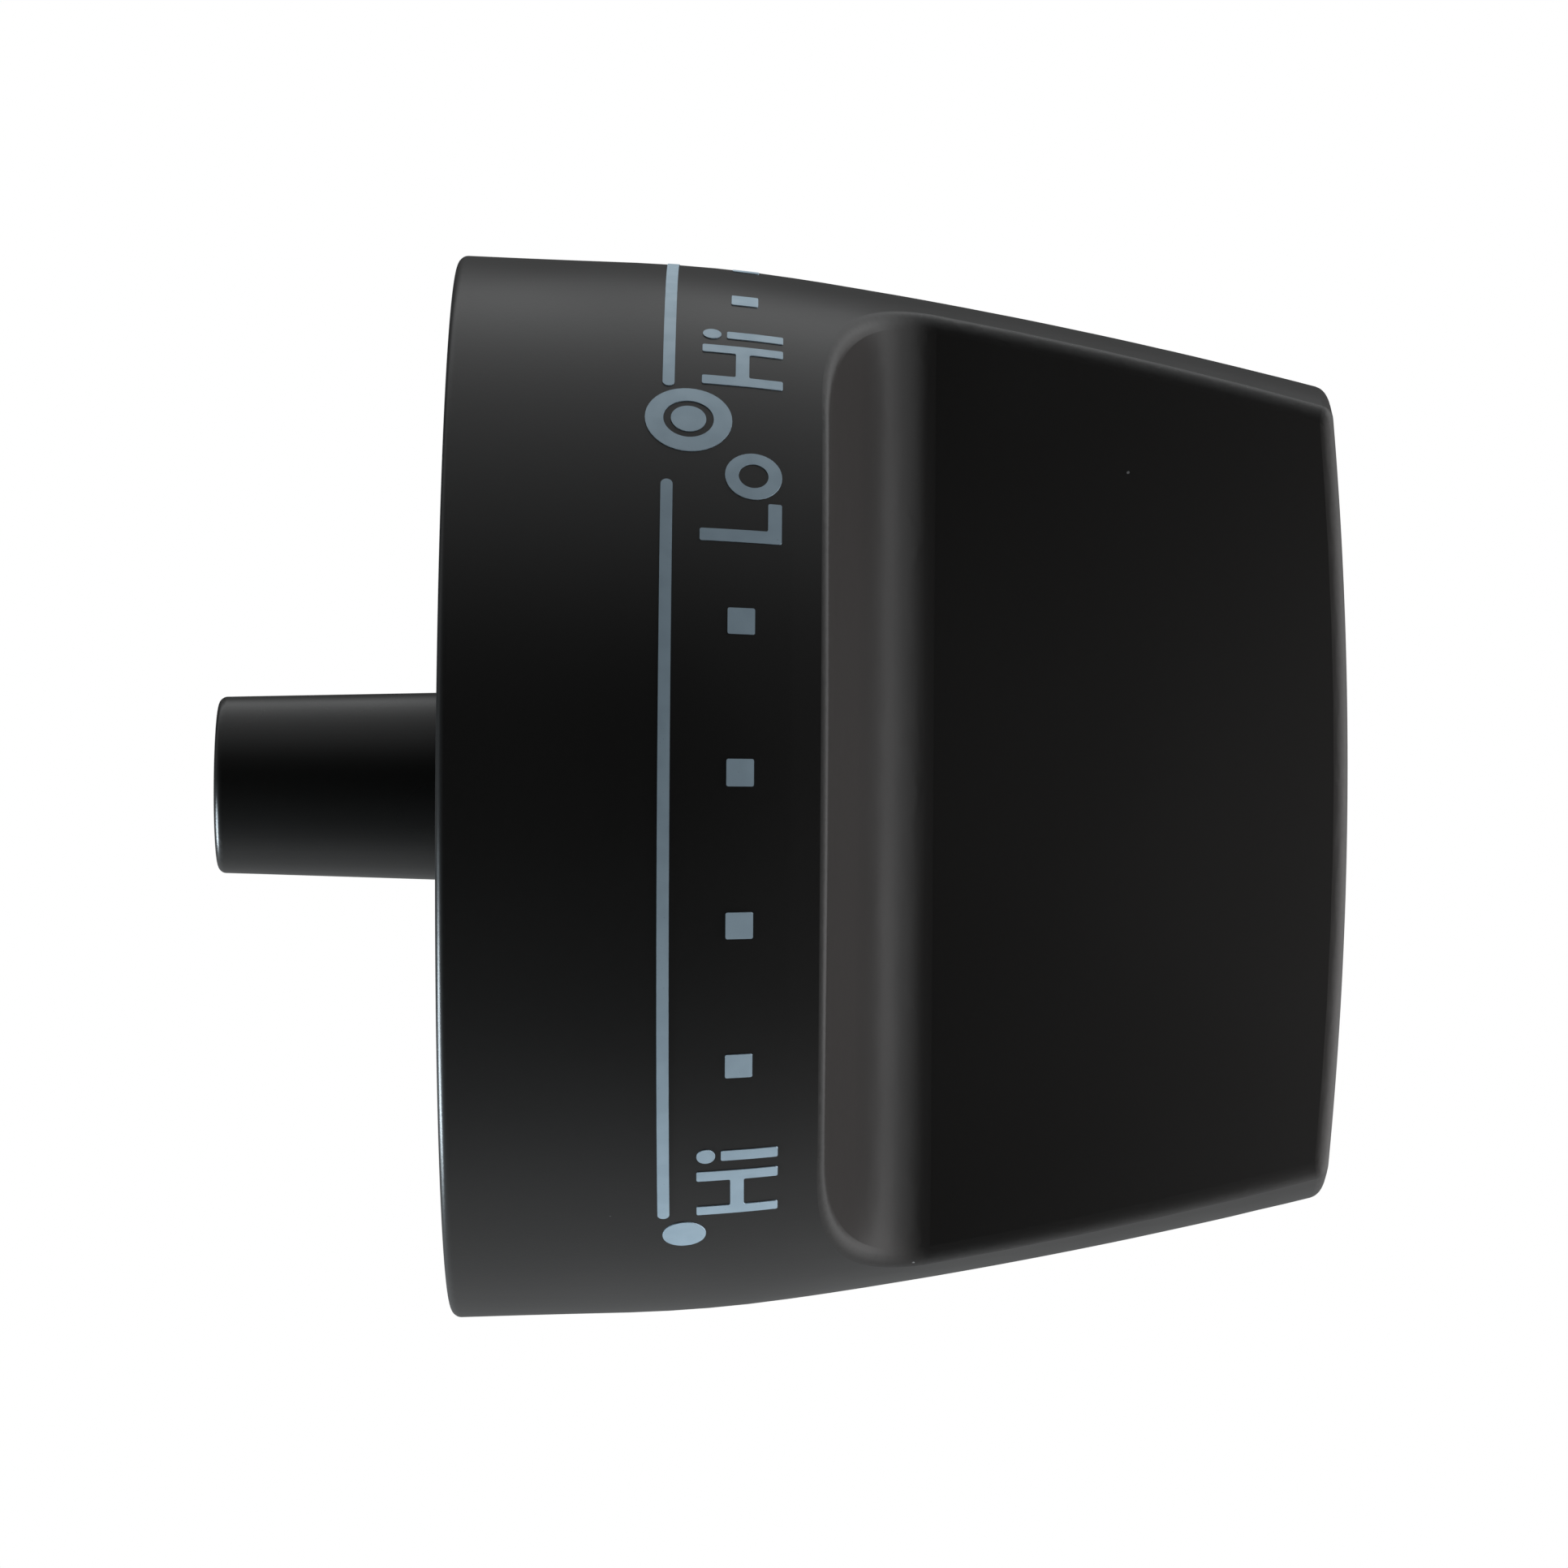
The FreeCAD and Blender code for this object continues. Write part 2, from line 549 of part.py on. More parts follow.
class Ink:
    """Draws marks on the skirt, each a thin solid that lies on it."""

    def __init__(self):
        self.section = ink_section()
        self.film = self.section.revolve(ORIGIN, X_AXIS, 360)
        self.text_radius = radius_at(RIM_X + TEXT_BASE - CAP_HEIGHT / 2)

    def band(self, start, end, first, last):
        """A mark between two places from the rim and two angles."""
        window = Part.makePlane(end - start, RIM_RADIUS, Vector(RIM_X + start, 0, RIM_RADIUS / 2))
        window.rotate(Vector(RIM_X + start, 0, RIM_RADIUS / 2), X_AXIS, 90)
        strip = self.section.common(window).Faces[0]
        return turned(strip, first).revolve(ORIGIN, X_AXIS, last - first)

    def disc(self, place, angle, radius, hole=0.0):
        """A round mark, or a ring if it has a hole."""
        start = Vector(RIM_X + place, 0, 0)
        direction = Vector(0, 0, 1)
        post = Part.makeCylinder(radius, BEYOND, start, direction)
        if hole > 0:
            post = post.cut(Part.makeCylinder(hole, BEYOND, start, direction))
        return self.film.common(turned(post, angle))

    def stroke(self, centre, left, right, bottom, top):
        """A letter stroke: left and right along the line of text, bottom and top above it."""
        degrees = math.degrees(1 / self.text_radius)
        first = centre - right * degrees
        last = centre - left * degrees
        return self.band(TEXT_BASE - top, TEXT_BASE - bottom, first, last)

    def round_letter(self, centre, left, diameter, low):
        """A letter O of this diameter, whose left side and foot are given."""
        degrees = math.degrees(1 / self.text_radius)
        middle = centre - (left + diameter / 2) * degrees
        radius = diameter / 2
        return self.disc(TEXT_BASE - low - radius, middle, radius, radius - STROKE)

    def high(self, centre):
        """The word Hi."""
        left = -(H_WIDTH + LETTER_GAP + STROKE) / 2
        right = left + H_WIDTH
        bar = (CAP_HEIGHT - STROKE) / 2
        legs = self.stroke(centre, left, left + STROKE, 0, CAP_HEIGHT).fuse(
            [
                self.stroke(centre, right - STROKE, right, 0, CAP_HEIGHT),
                self.stroke(centre, left, right, bar, bar + STROKE),
            ]
        )
        i_left = right + LETTER_GAP
        degrees = math.degrees(1 / self.text_radius)
        dot_angle = centre - (i_left + STROKE / 2) * degrees
        dot = self.disc(TEXT_BASE - CAP_HEIGHT + I_DOT / 2, dot_angle, I_DOT / 2)
        return [legs, self.stroke(centre, i_left, i_left + STROKE, 0, X_HEIGHT), dot]

    def low(self, centre):
        """The word Lo."""
        left = -(L_WIDTH + O_GAP + X_HEIGHT) / 2
        upright = self.stroke(centre, left, left + STROKE, 0, CAP_HEIGHT)
        letter = upright.fuse(self.stroke(centre, left, left + L_WIDTH, 0, STROKE))
        return [letter, self.round_letter(centre, left + L_WIDTH + O_GAP, X_HEIGHT, 0)]

    def off(self, centre):
        """The word OFF."""
        left = -(CAP_HEIGHT + 2 * (LETTER_GAP + F_WIDTH)) / 2
        letters = [self.round_letter(centre, left, CAP_HEIGHT, 0)]
        left += CAP_HEIGHT + LETTER_GAP
        for _ in range(2):
            middle = CAP_HEIGHT / 2 - STROKE
            upright = self.stroke(centre, left, left + STROKE, 0, CAP_HEIGHT)
            top = self.stroke(centre, left, left + F_WIDTH, CAP_HEIGHT - STROKE, CAP_HEIGHT)
            arm = self.stroke(centre, left, left + F_WIDTH - STROKE / 2, middle, middle + STROKE)
            letters.append(upright.fuse([top, arm]))
            left += F_WIDTH + LETTER_GAP
        return letters

    def line(self, first, last):
        """The line beside a scale, with round ends."""
        half = LINE_WIDTH / 2
        bar = self.band(LINE_PLACE - half, LINE_PLACE + half, first, last)
        ends = [self.disc(LINE_PLACE, angle, half) for angle in (first, last)]
        return bar.fuse(ends).removeSplitter()

    def scale(self, zone):
        """A line, Hi, the squares and Lo."""
        half = SQUARE / 2
        wide = math.degrees(half / self.text_radius)
        marks = [self.line(*zone["line"])] + self.high(zone["high"]) + self.low(zone["low"])
        for number in range(SQUARES):
            angle = zone["first_square"] - number * SCALE_STEP
            marks.append(
                self.band(SQUARE_PLACE - half, SQUARE_PLACE + half, angle - wide, angle + wide)
            )
        return marks


def solids_of(shapes):
    """All solids of some shapes, as one group."""
    return Part.makeCompound([solid for shape in shapes for solid in shape.Solids])


def inner_zone_print(ink):
    """Scale of the single element, which starts with a dot."""
    dot = ink.disc(SYMBOL_PLACE, INNER_ZONE["symbol"], DOT_RADIUS)
    return solids_of([dot] + ink.scale(INNER_ZONE))


def dual_zone_print(ink):
    """Scale of the double element, which starts with a disc in a ring."""
    angle = DUAL_ZONE["symbol"]
    ring = ink.disc(SYMBOL_PLACE, angle, RING_RADIUS, RING_RADIUS - RING_WIDTH)
    disc = ink.disc(SYMBOL_PLACE, angle, RING_DISC_RADIUS)
    return solids_of([ring, disc] + ink.scale(DUAL_ZONE))


def off_print(ink):
    """The off mark between the two scales."""
    return solids_of(ink.off(OFF_ANGLE))


def main():
    """Build every piece and write it to its own file."""
    os.makedirs("parts", exist_ok=True)
    ink = Ink()
    pieces = {
        "grip_shell": grip_shell(),
        "stem_hub": stem_hub(),
        "shaft_clip": shaft_clip(),
        "inner_zone_print": inner_zone_print(ink),
        "dual_zone_print": dual_zone_print(ink),
        "off_print": off_print(ink),
    }
    for name, shape in pieces.items():
        shape.exportStep(f"parts/{name}.step")
        print(f"{name}: {len(shape.Solids)} solids, {shape.Volume:.1f} mm3, {shape.isValid()}")
    print(f"the clip turns {clip_angle():.2f} degrees about x {CLIP_FOOT_X:.2f}, z {CLIP_FOOT_Z:.2f}")


main()
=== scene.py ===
"""Looks of a push-on cooktop control knob: its finishes, printed scales, light and camera.

The knob's axis is X, with the stem's mouth at x = 0 and the blade grip at the far end. An angle round the
skirt starts at -Y, which faces the camera, and grows towards -Z. The scales read the other way, towards +Z.
"""
import logging
import math
from dataclasses import dataclass
from enum import Enum
from typing import ClassVar

import bpy
from mathutils import Matrix, Vector


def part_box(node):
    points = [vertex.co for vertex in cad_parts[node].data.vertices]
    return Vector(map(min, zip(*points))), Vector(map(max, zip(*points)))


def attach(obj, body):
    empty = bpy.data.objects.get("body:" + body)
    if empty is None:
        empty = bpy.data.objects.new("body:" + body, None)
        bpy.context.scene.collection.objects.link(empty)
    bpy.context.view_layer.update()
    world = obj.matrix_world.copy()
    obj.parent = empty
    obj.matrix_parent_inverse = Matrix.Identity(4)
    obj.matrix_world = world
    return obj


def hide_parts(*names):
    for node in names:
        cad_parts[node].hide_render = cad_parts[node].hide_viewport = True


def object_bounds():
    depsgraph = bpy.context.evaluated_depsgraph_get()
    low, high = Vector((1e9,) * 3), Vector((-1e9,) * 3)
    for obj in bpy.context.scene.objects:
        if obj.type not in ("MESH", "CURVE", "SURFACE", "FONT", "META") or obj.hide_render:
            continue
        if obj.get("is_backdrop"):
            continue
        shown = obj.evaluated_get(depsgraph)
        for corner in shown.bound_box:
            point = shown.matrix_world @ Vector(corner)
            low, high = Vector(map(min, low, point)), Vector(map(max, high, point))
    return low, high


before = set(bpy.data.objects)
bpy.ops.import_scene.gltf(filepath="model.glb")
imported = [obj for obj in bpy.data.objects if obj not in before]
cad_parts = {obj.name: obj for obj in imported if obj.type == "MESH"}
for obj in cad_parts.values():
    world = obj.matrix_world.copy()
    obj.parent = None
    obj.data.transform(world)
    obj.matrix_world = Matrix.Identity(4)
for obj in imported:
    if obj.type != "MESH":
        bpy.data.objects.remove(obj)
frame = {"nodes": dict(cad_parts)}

MM = 0.001
MICRON = 0.000001
RGB = tuple[float, float, float]
Point = tuple[float, float]
LOG = logging.getLogger("knob")


# ---------------------------------------------------------------- node trees


class NodeSheet:
    """Adds nodes to one tree and joins their sockets."""

    def __init__(self, tree: bpy.types.NodeTree) -> None:
        """Starts on a tree, which may already hold nodes."""
        self.tree = tree

    def add(
        self, kind: str, settings: dict | None = None, inputs: dict | None = None
    ) -> bpy.types.Node:
        """Adds one node.

        Args:
            kind: the node's type name.
            settings: properties of the node.
            inputs: a value for a socket, or another node's output to join to it, by the socket's identifier,
                name or number.

        Returns:
            The new node.
        """
        node = self.tree.nodes.new(kind)
        for name, value in (settings or {}).items():
            setattr(node, name, value)
        for key, value in (inputs or {}).items():
            socket = find_socket(node.inputs, key)
            if isinstance(value, bpy.types.NodeSocket):
                self.tree.links.new(value, socket)
            else:
                socket.default_value = value
        return node

    def math(self, operation: str, *values: object, clamp: bool = False) -> bpy.types.NodeSocket:
        """Adds a Math node on up to three values or sockets and returns its result."""
        settings = {"operation": operation, "use_clamp": clamp}
        return self.add("ShaderNodeMath", settings, dict(enumerate(values))).outputs[0]

    def mix(self, amount: object, first: object, second: object) -> bpy.types.NodeSocket:
        """Mixes two colours and returns the result."""
        inputs = {"Factor_Float": amount, "A_Color": first, "B_Color": second}
        node = self.add("ShaderNodeMix", {"data_type": "RGBA"}, inputs)
        return find_socket(node.outputs, "Result_Color")

    def span(self, value: object, start: tuple, end: tuple = (0.0, 1.0)) -> bpy.types.NodeSocket:
        """Maps a value from one span to another, with soft ends, and returns the result."""
        inputs = {"Value": value, "From Min": start[0], "From Max": start[1]}
        inputs.update({"To Min": end[0], "To Max": end[1]})
        settings = {"interpolation_type": "SMOOTHSTEP"}
        return self.add("ShaderNodeMapRange", settings, inputs).outputs[0]

    def bump(self, depth: float, height: bpy.types.NodeSocket) -> bpy.types.NodeSocket:
        """Raises a surface by a height map of this depth and returns the normal."""
        inputs = {"Strength": 1.0, "Distance": depth, "Height": height}
        return self.add("ShaderNodeBump", None, inputs).outputs[0]

    def coat(self, out: bpy.types.Node, inputs: dict) -> None:
        """Ends a material with a Principled shader."""
        surface = self.add("ShaderNodeBsdfPrincipled", None, inputs)
        self.tree.links.new(surface.outputs[0], out.inputs["Surface"])


def find_socket(sockets: object, key: str | int) -> bpy.types.NodeSocket:
    """Finds a socket by identifier first, because several may share a name, then by name or number."""
    for socket in sockets:
        if socket.identifier == key:
            return socket
    return sockets[key]


def new_group(
    name: str, kind: str, inputs: dict[str, tuple], outputs: dict[str, str]
) -> tuple[bpy.types.NodeTree, NodeSheet, bpy.types.Node, bpy.types.Node]:
    """Makes a node group with named sockets.

    Args:
        name: the group's name.
        kind: ShaderNodeTree or GeometryNodeTree.
        inputs: socket type and starting value, or None, by name.
        outputs: socket type by name.

    Returns:
        The group, its sheet, its input node and its output node.
    """
    group = bpy.data.node_groups.new(name, kind)
    for label, (socket_type, value) in inputs.items():
        socket = group.interface.new_socket(label, in_out="INPUT", socket_type=socket_type)
        if value is not None:
            socket.default_value = value
    for label, socket_type in outputs.items():
        group.interface.new_socket(label, in_out="OUTPUT", socket_type=socket_type)
    sheet = NodeSheet(group)
    return group, sheet, sheet.add("NodeGroupInput"), sheet.add("NodeGroupOutput")


# ---------------------------------------------------------------- effects that finishes share


class SurfaceEffects:
    """Node groups that more than one finish uses, each built once."""

    FINE_SHARE = 0.7  # of the grain's height; pits make up the rest
    PIT_SCALE = 0.42  # against the scale of the fine grain
    FLOW_SPAN = (0.32, 0.68)
    WEAR_SPAN = (0.995, 0.9)  # how alike the plain and the rounded normal are, from no wear to full wear
    PATCH_SPAN = (0.4, 0.62)
    LEAST_WEAR = 0.15
    RAGGED_SCALE = 5200.0
    RAGGED_REACH = 0.12 * MM
    SPECK_SIZES = (0.006, 0.032)  # radius, as a share of a cell
    FAINTEST_SPECK = 0.3

    def __init__(self) -> None:
        """Builds the groups."""
        self.grain = self._grain()
        self.wear = self._wear()
        self.dust = self._dust()

    @classmethod
    def _grain(cls) -> bpy.types.NodeTree:
        """Fine spark texture of a mould, with slow mottling from the way the plastic filled it."""
        group, sheet, given, out = new_group(
            "moulding_grain",
            "ShaderNodeTree",
            {"Scale": ("NodeSocketFloat", 9000.0), "Flow": ("NodeSocketFloat", 90.0)},
            {"Height": "NodeSocketFloat", "Mottle": "NodeSocketFloat"},
        )
        place = sheet.add("ShaderNodeTexCoord").outputs["Object"]
        fine_inputs = {"Vector": place, "Scale": given.outputs["Scale"], "Detail": 3.0, "Roughness": 0.62}
        fine = sheet.add("ShaderNodeTexNoise", None, fine_inputs).outputs[0]
        pit_scale = sheet.math("MULTIPLY", given.outputs["Scale"], cls.PIT_SCALE)
        pits_inputs = {"Vector": place, "Scale": pit_scale}
        pits = sheet.add("ShaderNodeTexVoronoi", {"feature": "SMOOTH_F1"}, pits_inputs).outputs["Distance"]
        raised = sheet.math("MULTIPLY", fine, cls.FINE_SHARE)
        height = sheet.math("ADD", raised, sheet.math("MULTIPLY", pits, 1 - cls.FINE_SHARE))
        flow_inputs = {"Vector": place, "Scale": given.outputs["Flow"], "Detail": 1.0, "Distortion": 0.15}
        flow = sheet.add("ShaderNodeTexNoise", None, flow_inputs).outputs[0]
        sheet.tree.links.new(height, out.inputs["Height"])
        sheet.tree.links.new(sheet.span(flow, cls.FLOW_SPAN), out.inputs["Mottle"])
        return group

    @classmethod
    def _wear(cls) -> bpy.types.NodeTree:
        """Mask of the outer edges that fingers and panels rub, broken up so that it is uneven."""
        group, sheet, given, out = new_group(
            "edge_wear",
            "ShaderNodeTree",
            {"Radius": ("NodeSocketFloat", 0.6 * MM), "Patch Scale": ("NodeSocketFloat", 260.0)},
            {"Mask": "NodeSocketFloat"},
        )
        rounded = sheet.add("ShaderNodeBevel", {"samples": 4}, {"Radius": given.outputs["Radius"]}).outputs[0]
        plain = sheet.add("ShaderNodeNewGeometry").outputs["Normal"]
        alike = sheet.add("ShaderNodeVectorMath", {"operation": "DOT_PRODUCT"}, {0: rounded, 1: plain})
        edge = sheet.span(alike.outputs["Value"], cls.WEAR_SPAN)
        place = sheet.add("ShaderNodeTexCoord").outputs["Object"]
        patch_inputs = {"Vector": place, "Scale": given.outputs["Patch Scale"], "Detail": 5.0}
        patches = sheet.add("ShaderNodeTexNoise", None, patch_inputs).outputs[0]
        mask = sheet.math("MULTIPLY", edge, sheet.span(patches, cls.PATCH_SPAN, (cls.LEAST_WEAR, 1.0)))
        sheet.tree.links.new(mask, out.inputs["Mask"])
        return group

    @classmethod
    def _dust(cls) -> bpy.types.NodeTree:
        """Mask of sparse, ragged specks of dust, each up to about a tenth of a millimetre across."""
        group, sheet, given, out = new_group(
            "dust_specks",
            "ShaderNodeTree",
            {"Cells": ("NodeSocketFloat", 420.0), "Amount": ("NodeSocketFloat", 0.3)},
            {"Mask": "NodeSocketFloat"},
        )
        place = sheet.add("ShaderNodeTexCoord").outputs["Object"]
        bend_inputs = {"Vector": place, "Scale": cls.RAGGED_SCALE, "Detail": 1.0}
        bend = sheet.add("ShaderNodeTexNoise", None, bend_inputs).outputs["Color"]
        pull = sheet.add("ShaderNodeVectorMath", {"operation": "SCALE"}, {0: bend, "Scale": cls.RAGGED_REACH})
        moved = sheet.add("ShaderNodeVectorMath", {"operation": "ADD"}, {0: place, 1: pull.outputs[0]})
        cells = sheet.add(
            "ShaderNodeTexVoronoi", None, {"Vector": moved.outputs[0], "Scale": given.outputs["Cells"]}
        )
        chance = sheet.add("ShaderNodeSeparateColor", None, {"Color": cells.outputs["Color"]})
        small, large = cls.SPECK_SIZES
        size = sheet.math("MULTIPLY_ADD", chance.outputs[1], large - small, small)
        speck = sheet.math("LESS_THAN", cells.outputs["Distance"], size)
        kept = sheet.math("LESS_THAN", chance.outputs[0], given.outputs["Amount"])
        faint = cls.FAINTEST_SPECK
        shade = sheet.math("MULTIPLY_ADD", chance.outputs[2], 1 - faint, faint)
        mask = sheet.math("MULTIPLY", sheet.math("MULTIPLY", speck, kept), shade)
        sheet.tree.links.new(mask, out.inputs["Mask"])
        return group


def new_material(name: str) -> tuple[bpy.types.Material, NodeSheet, bpy.types.Node]:
    """Makes a material that holds only its output.

    Args:
        name: the material's name.

    Returns:
        The material, its sheet and its output node.
    """
    material = bpy.data.materials.new(name)
    material.use_nodes = True
    material.node_tree.nodes.clear()
    sheet = NodeSheet(material.node_tree)
    return material, sheet, sheet.add("ShaderNodeOutputMaterial")


def use_group(sheet: NodeSheet, group: bpy.types.NodeTree, **inputs: float) -> bpy.types.Node:
    """Places a shared group in a material, with this material's values."""
    names = {name.replace("_", " "): value for name, value in inputs.items()}
    return sheet.add("ShaderNodeGroup", {"node_tree": group}, names)


@dataclass(frozen=True)
class MouldedPlastic:
    """Finish of a satin plastic moulding."""

    name: str
    colour: RGB
    rubbed_colour: RGB
    roughness: float
    roughness_swing: float
    grain_scale: float
    grain_depth: float
    dust_amount: float
    edge_radius: float = 0.6 * MM
    wear_polish: float = 0.08
    dust_colour: RGB = (0.16, 0.165, 0.17)
    dust_roughness: float = 0.4
    ior: float = 1.5

    def make(self, effects: SurfaceEffects) -> bpy.types.Material:
        """Builds the material.

        Args:
            effects: the shared node groups.

        Returns:
            The material.
        """
        material, sheet, out = new_material(self.name)
        grain = use_group(sheet, effects.grain, Scale=self.grain_scale)
        wear = use_group(sheet, effects.wear, Radius=self.edge_radius)
        dust = use_group(sheet, effects.dust, Amount=self.dust_amount)
        rubbed = sheet.mix(wear.outputs["Mask"], (*self.colour, 1.0), (*self.rubbed_colour, 1.0))
        colour = sheet.mix(dust.outputs["Mask"], rubbed, (*self.dust_colour, 1.0))
        low = self.roughness - self.roughness_swing
        swing = sheet.math("MULTIPLY_ADD", grain.outputs["Mottle"], 2 * self.roughness_swing, low)
        polish = sheet.math("MULTIPLY_ADD", wear.outputs["Mask"], -self.wear_polish, swing)
        rough = sheet.math("MULTIPLY_ADD", dust.outputs["Mask"], self.dust_roughness, polish, clamp=True)
        normal = sheet.bump(self.grain_depth, grain.outputs["Height"])
        sheet.coat(out, {"Base Color": colour, "Roughness": rough, "Normal": normal, "IOR": self.ior})
        return material


@dataclass(frozen=True)
class SpringSteel:
    """Finish of a cold-rolled spring strip, drawn along its length."""

    name: str = "rolled_spring_steel"
    colour: RGB = (0.52, 0.51, 0.49)
    tint: RGB = (0.36, 0.33, 0.29)
    roughness: float = 0.26
    roughness_swing: float = 0.11
    line_scale: float = 7000.0
    line_depth: float = 4 * MICRON
    stretch: float = 0.03
    grain_scale: float = 6000.0
    mottle_scale: float = 700.0

    def make(self, effects: SurfaceEffects) -> bpy.types.Material:
        """Builds the material.

        Args:
            effects: the shared node groups.

        Returns:
            The material.
        """
        material, sheet, out = new_material(self.name)
        place = sheet.add("ShaderNodeTexCoord").outputs["Object"]
        drawn_inputs = {"Vector": place, "Scale": (self.stretch, 1.0, 1.0)}
        drawn = sheet.add("ShaderNodeMapping", None, drawn_inputs).outputs[0]
        line_inputs = {"Vector": drawn, "Scale": self.line_scale, "Detail": 4.0}
        lines = sheet.add("ShaderNodeTexNoise", None, line_inputs).outputs[0]
        grain = use_group(sheet, effects.grain, Scale=self.grain_scale, Flow=self.mottle_scale)
        colour = sheet.mix(grain.outputs["Mottle"], (*self.colour, 1.0), (*self.tint, 1.0))
        low = self.roughness - self.roughness_swing
        rough = sheet.math("MULTIPLY_ADD", lines, 2 * self.roughness_swing, low, clamp=True)
        normal = sheet.bump(self.line_depth, lines)
        sheet.coat(out, {"Base Color": colour, "Metallic": 1.0, "Roughness": rough, "Normal": normal})
        return material


@dataclass(frozen=True)
class PrintInk:
    """Finish of pad-printed ink: even, a little chalky, with pinholes and thin places."""

    name: str = "blue_grey_ink"
    colour: RGB = (0.278, 0.366, 0.436)
    thin_colour: RGB = (0.24, 0.32, 0.386)
    thin_share: float = 0.6
    pinhole_colour: RGB = (0.05, 0.06, 0.07)
    pinhole_scale: float = 9000.0
    pinhole_span: tuple[float, float] = (0.3, 0.22)
    pinhole_strength: float = 0.5
    mottle_scale: float = 900.0
    grain_depth: float = 4 * MICRON
    roughness: float = 0.5
    roughness_swing: float = 0.05

    def make(self, effects: SurfaceEffects) -> bpy.types.Material:
        """Builds the material.

        Args:
            effects: the shared node groups.

        Returns:
            The material.
        """
        material, sheet, out = new_material(self.name)
        grain = use_group(sheet, effects.grain, Scale=self.pinhole_scale, Flow=self.mottle_scale)
        thin = sheet.math("MULTIPLY", grain.outputs["Mottle"], self.thin_share)
        even = sheet.mix(thin, (*self.colour, 1.0), (*self.thin_colour, 1.0))
        holes = sheet.span(grain.outputs["Height"], self.pinhole_span, (0.0, self.pinhole_strength))
        colour = sheet.mix(holes, even, (*self.pinhole_colour, 1.0))
        low = self.roughness - self.roughness_swing
        rough = sheet.math("MULTIPLY_ADD", grain.outputs["Mottle"], 2 * self.roughness_swing, low)
        normal = sheet.bump(self.grain_depth, grain.outputs["Height"])
        sheet.coat(out, {"Base Color": colour, "Roughness": rough, "Normal": normal})
        return material


class Finish(Enum):
    """The finishes of the knob."""

    SHELL = MouldedPlastic(
        name="satin_black_shell",
        colour=(0.0098, 0.0094, 0.0092),
        rubbed_colour=(0.016, 0.0155, 0.015),
        roughness=0.33,
        roughness_swing=0.025,
        grain_scale=9500.0,
        grain_depth=3.5 * MICRON,
        dust_amount=0.26,
    )
    HUB = MouldedPlastic(
        name="black_hub",
        colour=(0.0085, 0.0084, 0.0080),
        rubbed_colour=(0.015, 0.015, 0.015),
        roughness=0.27,
        roughness_swing=0.035,
        grain_scale=6500.0,
        grain_depth=3 * MICRON,
        dust_amount=0.08,
        edge_radius=0.4 * MM,
    )
    CLIP = SpringSteel()
    INK = PrintInk()


class Paints:
    """The knob's materials, each made once when it is first asked for."""

    def __init__(self) -> None:
        """Builds the shared effects."""
        self.effects = SurfaceEffects()
        self.made: dict[Finish, bpy.types.Material] = {}

    def get(self, finish: Finish) -> bpy.types.Material:
        """Returns the material of a finish."""
        if finish not in self.made:
            self.made[finish] = finish.value.make(self.effects)
        return self.made[finish]

    def dress(self, thing: bpy.types.Object, finish: Finish) -> None:
        """Gives every material slot of an object one finish."""
        slots = thing.data.materials
        if not slots:
            slots.append(None)
        for number in range(len(slots)):
            slots[number] = self.get(finish)


# ---------------------------------------------------------------- printed scales


class Surface:
    """The shell's outer surface, read from the frame."""

    def __init__(self, shell: bpy.types.Object) -> None:
        """Keeps the shell, which is only read."""
        self.shell = shell
        low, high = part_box(shell.name)
        self.rim = low.x
        self.reach = max(high.y, high.z)

    def radius(self, x: float) -> float:
        """The skirt's radius at a place along the axis."""
        start = Vector((x, 0.0, -2.0 * self.reach))
        hit, spot, _, _ = self.shell.ray_cast(start, Vector((0.0, 0.0, 1.0)))
        if not hit:
            raise ValueError(f"the skirt has no wall at {x:.4f}")
        return -spot.z


@dataclass(frozen=True)
class Lettering:
    """Plain stroke letters. A shape's points run right along the line of text and up from its foot."""

    stroke: float = 0.62 * MM
    cap_height: float = 3.72 * MM
    x_height: float = 2.6 * MM
    h_width: float = 3.1 * MM
    l_width: float = 2.1 * MM
    f_width: float = 2.1 * MM
    i_dot: float = 0.86 * MM
    i_dot_points: int = 24
    gap: float = 0.68 * MM
    round_gap: float = 0.2 * MM

    def letter_h(self) -> list[Point]:
        """Outline of a capital H."""
        left, right, top = self.stroke, self.h_width - self.stroke, self.cap_height
        low, high = (top - self.stroke) / 2, (top + self.stroke) / 2
        one_leg = [(0, 0), (left, 0), (left, low), (right, low), (right, 0), (self.h_width, 0)]
        back = [(self.h_width, top), (right, top), (right, high), (left, high), (left, top), (0, top)]
        return one_leg + back

    def letter_l(self) -> list[Point]:
        """Outline of a capital L."""
        foot = [(0, 0), (self.l_width, 0), (self.l_width, self.stroke), (self.stroke, self.stroke)]
        return foot + [(self.stroke, self.cap_height), (0, self.cap_height)]

    def letter_f(self) -> list[Point]:
        """Outline of a capital F."""
        left, top, arm_end = self.stroke, self.cap_height, self.f_width - self.stroke / 2
        low, high = top / 2 - self.stroke, top / 2
        up = [(0, 0), (left, 0), (left, low), (arm_end, low), (arm_end, high), (left, high)]
        return up + [(left, top - left), (self.f_width, top - left), (self.f_width, top), (0, top)]

    def stem_i(self) -> list[Point]:
        """Outline of the upright of a small i."""
        return rectangle(self.stroke / 2, self.x_height / 2, self.stroke, self.x_height)

    def ring(self, diameter: float) -> list[list[Point]]:
        """The two outlines of a round letter, standing on the foot of the line."""
        radius = diameter / 2
        return [circle(radius, radius, size) for size in (radius, radius - self.stroke)]


def rectangle(x: float, y: float, width: float, height: float) -> list[Point]:
    """Corners of a rectangle about a middle, anticlockwise."""
    signs = ((-1, -1), (1, -1), (1, 1), (-1, 1))
    return [(x + side * width / 2, y + rise * height / 2) for side, rise in signs]


